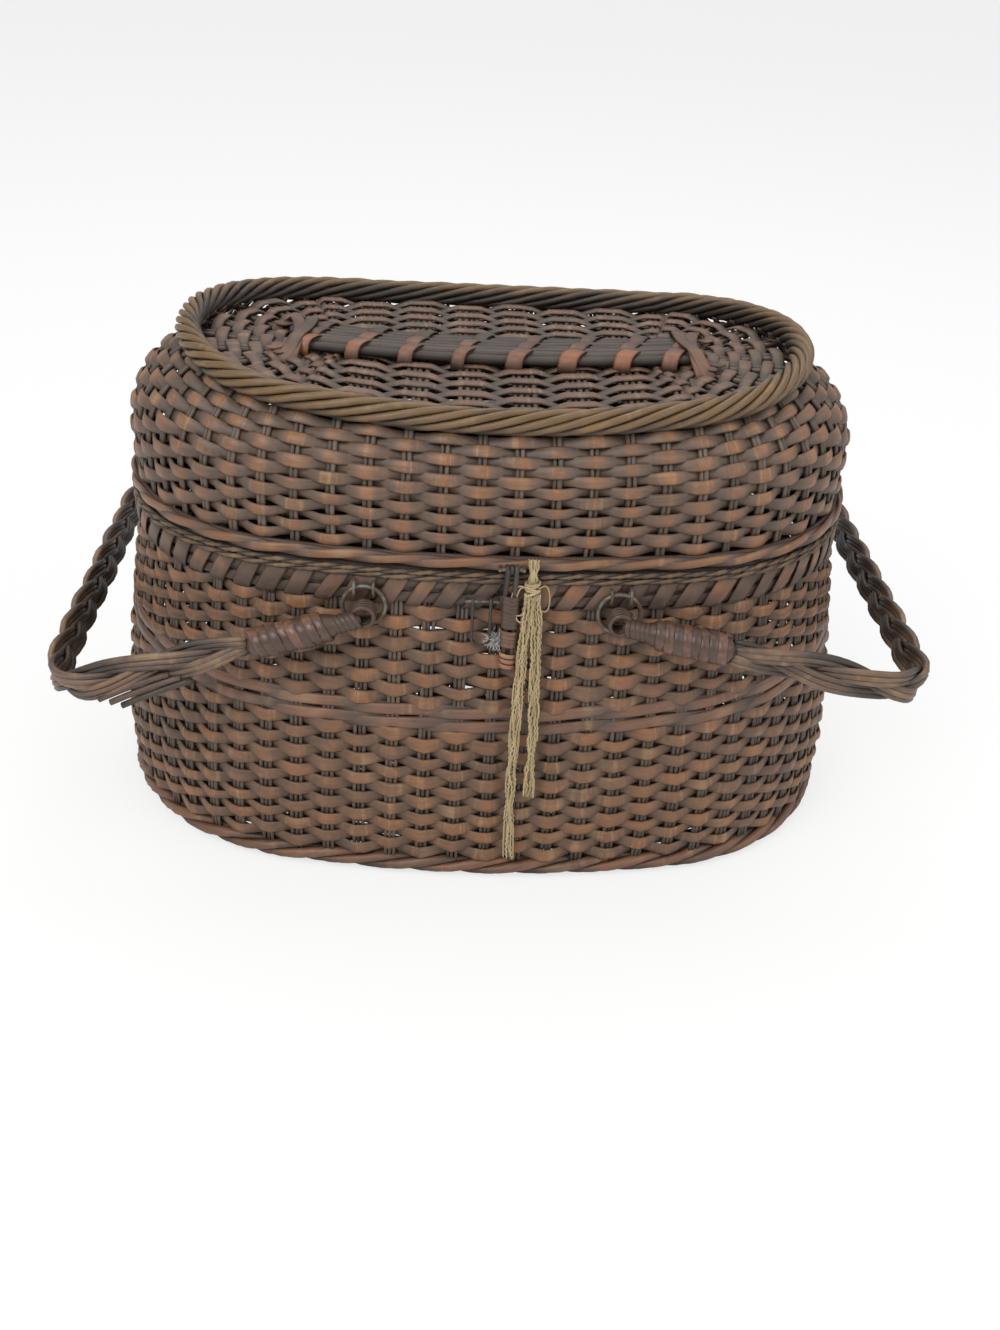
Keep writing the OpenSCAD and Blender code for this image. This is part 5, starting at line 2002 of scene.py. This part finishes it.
@dataclass(frozen=True)
class Stage:
    """Pale floor, soft light and the camera of the photograph."""

    eye: tuple[float, float, float] = (-0.0274, -0.7381, 0.4744)
    target: tuple[float, float, float] = (0.0113, 0.0, 0.0545)
    roll: float = math.radians(3.3)
    lens: float = 40.57
    paper: RGB = (0.86, 0.86, 0.85)
    glow: RGB = (1.0, 1.0, 0.995)
    glow_share: float = 0.72
    sky: RGB = (0.97, 0.985, 1.0)
    sky_strength: float = 0.62
    lit_point: tuple[float, float, float] = (0.0, 0.0, 0.12)
    lamps: tuple[tuple[str, tuple[float, float, float], float, float], ...] = (
        ("key_soft", (-0.9, -1.3, 1.7), 1.3, 26.0),
        ("fill_soft", (1.4, -0.9, 1.1), 1.5, 9.0),
        ("top_soft", (0.1, 0.7, 1.9), 1.4, 12.0),
    )

    def camera(self) -> None:
        """Set up the camera."""
        data = bpy.data.cameras.new("photo_camera")
        data.lens, data.sensor_width, data.sensor_fit = self.lens, 36, "AUTO"
        data.clip_start, data.clip_end = 0.01, 20
        made = linked("photo_camera", data)
        eye, target = np.array(self.eye), np.array(self.target)
        ahead = unit(target - eye)
        right = unit(np.cross(ahead, UP))
        up = np.cross(right, ahead)
        turned_right = math.cos(self.roll) * right + math.sin(self.roll) * up
        turned_up = math.cos(self.roll) * up - math.sin(self.roll) * right
        aim(made, turned_right, turned_up, -ahead, eye)
        bpy.context.scene.camera = made

    def floor(self) -> None:
        """Lay the floor, white to the camera and pale to the light."""
        deselect()
        bpy.ops.mesh.primitive_plane_add(size=16, location=(0, 0, -0.0002))
        made = bpy.context.view_layer.objects.active
        made.name = "pale_floor"
        paper, board, shader = new_material("pale_paper")
        shader.inputs["Base Color"].default_value = (*self.paper, 1)
        shader.inputs["Roughness"].default_value = 0.8
        shader.inputs["Specular IOR Level"].default_value = 0.1
        glow = board.add("ShaderNodeEmission")
        glow.inputs["Color"].default_value = (*self.glow, 1)
        seen = board.add("ShaderNodeLightPath").outputs["Is Camera Ray"]
        mix = board.add("ShaderNodeMixShader")
        board.feed(mix.inputs[0], board.math("MULTIPLY", seen, self.glow_share))
        board.feed(mix.inputs[1], shader.outputs[0])
        board.feed(mix.inputs[2], glow.outputs[0])
        board.feed(paper.node_tree.nodes["Material Output"].inputs["Surface"], mix.outputs[0])
        made.data.materials.append(paper)

    def light(self) -> None:
        """Set the soft lamps and the even surroundings."""
        world = bpy.data.worlds.new("studio")
        bpy.context.scene.world = world
        world.use_nodes = True
        board = Board(world.node_tree)
        world.node_tree.nodes.clear()
        path = board.add("ShaderNodeLightPath")
        even, white = board.add("ShaderNodeBackground"), board.add("ShaderNodeBackground")
        even.inputs["Color"].default_value = (*self.sky, 1)
        even.inputs["Strength"].default_value = self.sky_strength
        white.inputs["Color"].default_value = (1, 1, 1, 1)
        mix, end = board.add("ShaderNodeMixShader"), board.add("ShaderNodeOutputWorld")
        board.feed(mix.inputs[0], path.outputs["Is Camera Ray"])
        board.feed(mix.inputs[1], even.outputs[0])
        board.feed(mix.inputs[2], white.outputs[0])
        board.feed(end.inputs[0], mix.outputs[0])
        for name, place, size, power in self.lamps:
            data = bpy.data.lights.new(name, "AREA")
            data.shape, data.size, data.energy = "DISK", size, power
            lamp = linked(name, data)
            back = unit(np.array(place) - np.array(self.lit_point))
            side = unit(np.cross(UP, back))
            aim(lamp, side, np.cross(back, side), back, np.array(place))

    def build(self) -> None:
        """Set up everything round the object."""
        bpy.context.scene.view_settings.view_transform = "Standard"
        self.camera()
        self.floor()
        self.light()


def main() -> None:
    """Build the whole scene in order."""
    logging.basicConfig(level=logging.INFO, format="%(name)s: %(message)s")
    Stage().build()
    wardrobe = Wardrobe()
    StringTails(wardrobe).build()
    WovenWall(wardrobe).build()
    WovenWall(
        wardrobe, name="upper_wall", node="upper_weave", rows=9, low_on_wale=True,
        high=TopEdge.RIM, seed=13,
    ).build()
    StakeBundles(wardrobe).build()
    Wale(wardrobe).build()
    FootBorder(wardrobe).build()
    BasePanel(wardrobe).build()
    RimBinding(wardrobe).build()
    RimCord(wardrobe).build()
    HingeLoops(wardrobe).build()
    LidBand(wardrobe).build()
    WovenWall(
        wardrobe, body="lid", name="lid_wall", node="lid_weave", finish=LID_WEAVE, profile=LID_PROFILE,
        rows=12, bundles=60, low_z=0.1774, high=TopEdge.BORDER, depth=0.003, swing=0.0021, sag=0.0003,
        half_tall=0.0036, end_thin=0.04, chevron=False, fill=1.32, uneven=0.035, seed=17,
    ).build()
    StakeBundles(
        wardrobe, body="lid", name="lid_wall_stakes", node="lid_stakes", profile=LID_PROFILE, bundles=60,
        rods=2, radius=0.00115, pitch=0.0024, low_z=0.1715, high=TopEdge.BORDER, depth=0.003,
        finish=LID_STAKE, seed=29,
    ).build()
    TopBorder(wardrobe).build()
    WovenPanel(wardrobe).build()
    Ridge(wardrobe).build()
    BailHandle(wardrobe, body="left_handle", side=Side.LEFT).build()
    BailHandle(wardrobe, body="right_handle", side=Side.RIGHT).build()
    Latch(wardrobe).build()
    for node in ("foot_hoop", "base_long_sticks"):
        wardrobe.dress_node(node, SOLID_WILLOW)
    for node in ("handle_rings", "handle_staples", "keeper_pin", "hasp_pin"):
        wardrobe.dress_node(node, WIRE)
    Stock.clear()


if __name__ == "__main__":
    main()
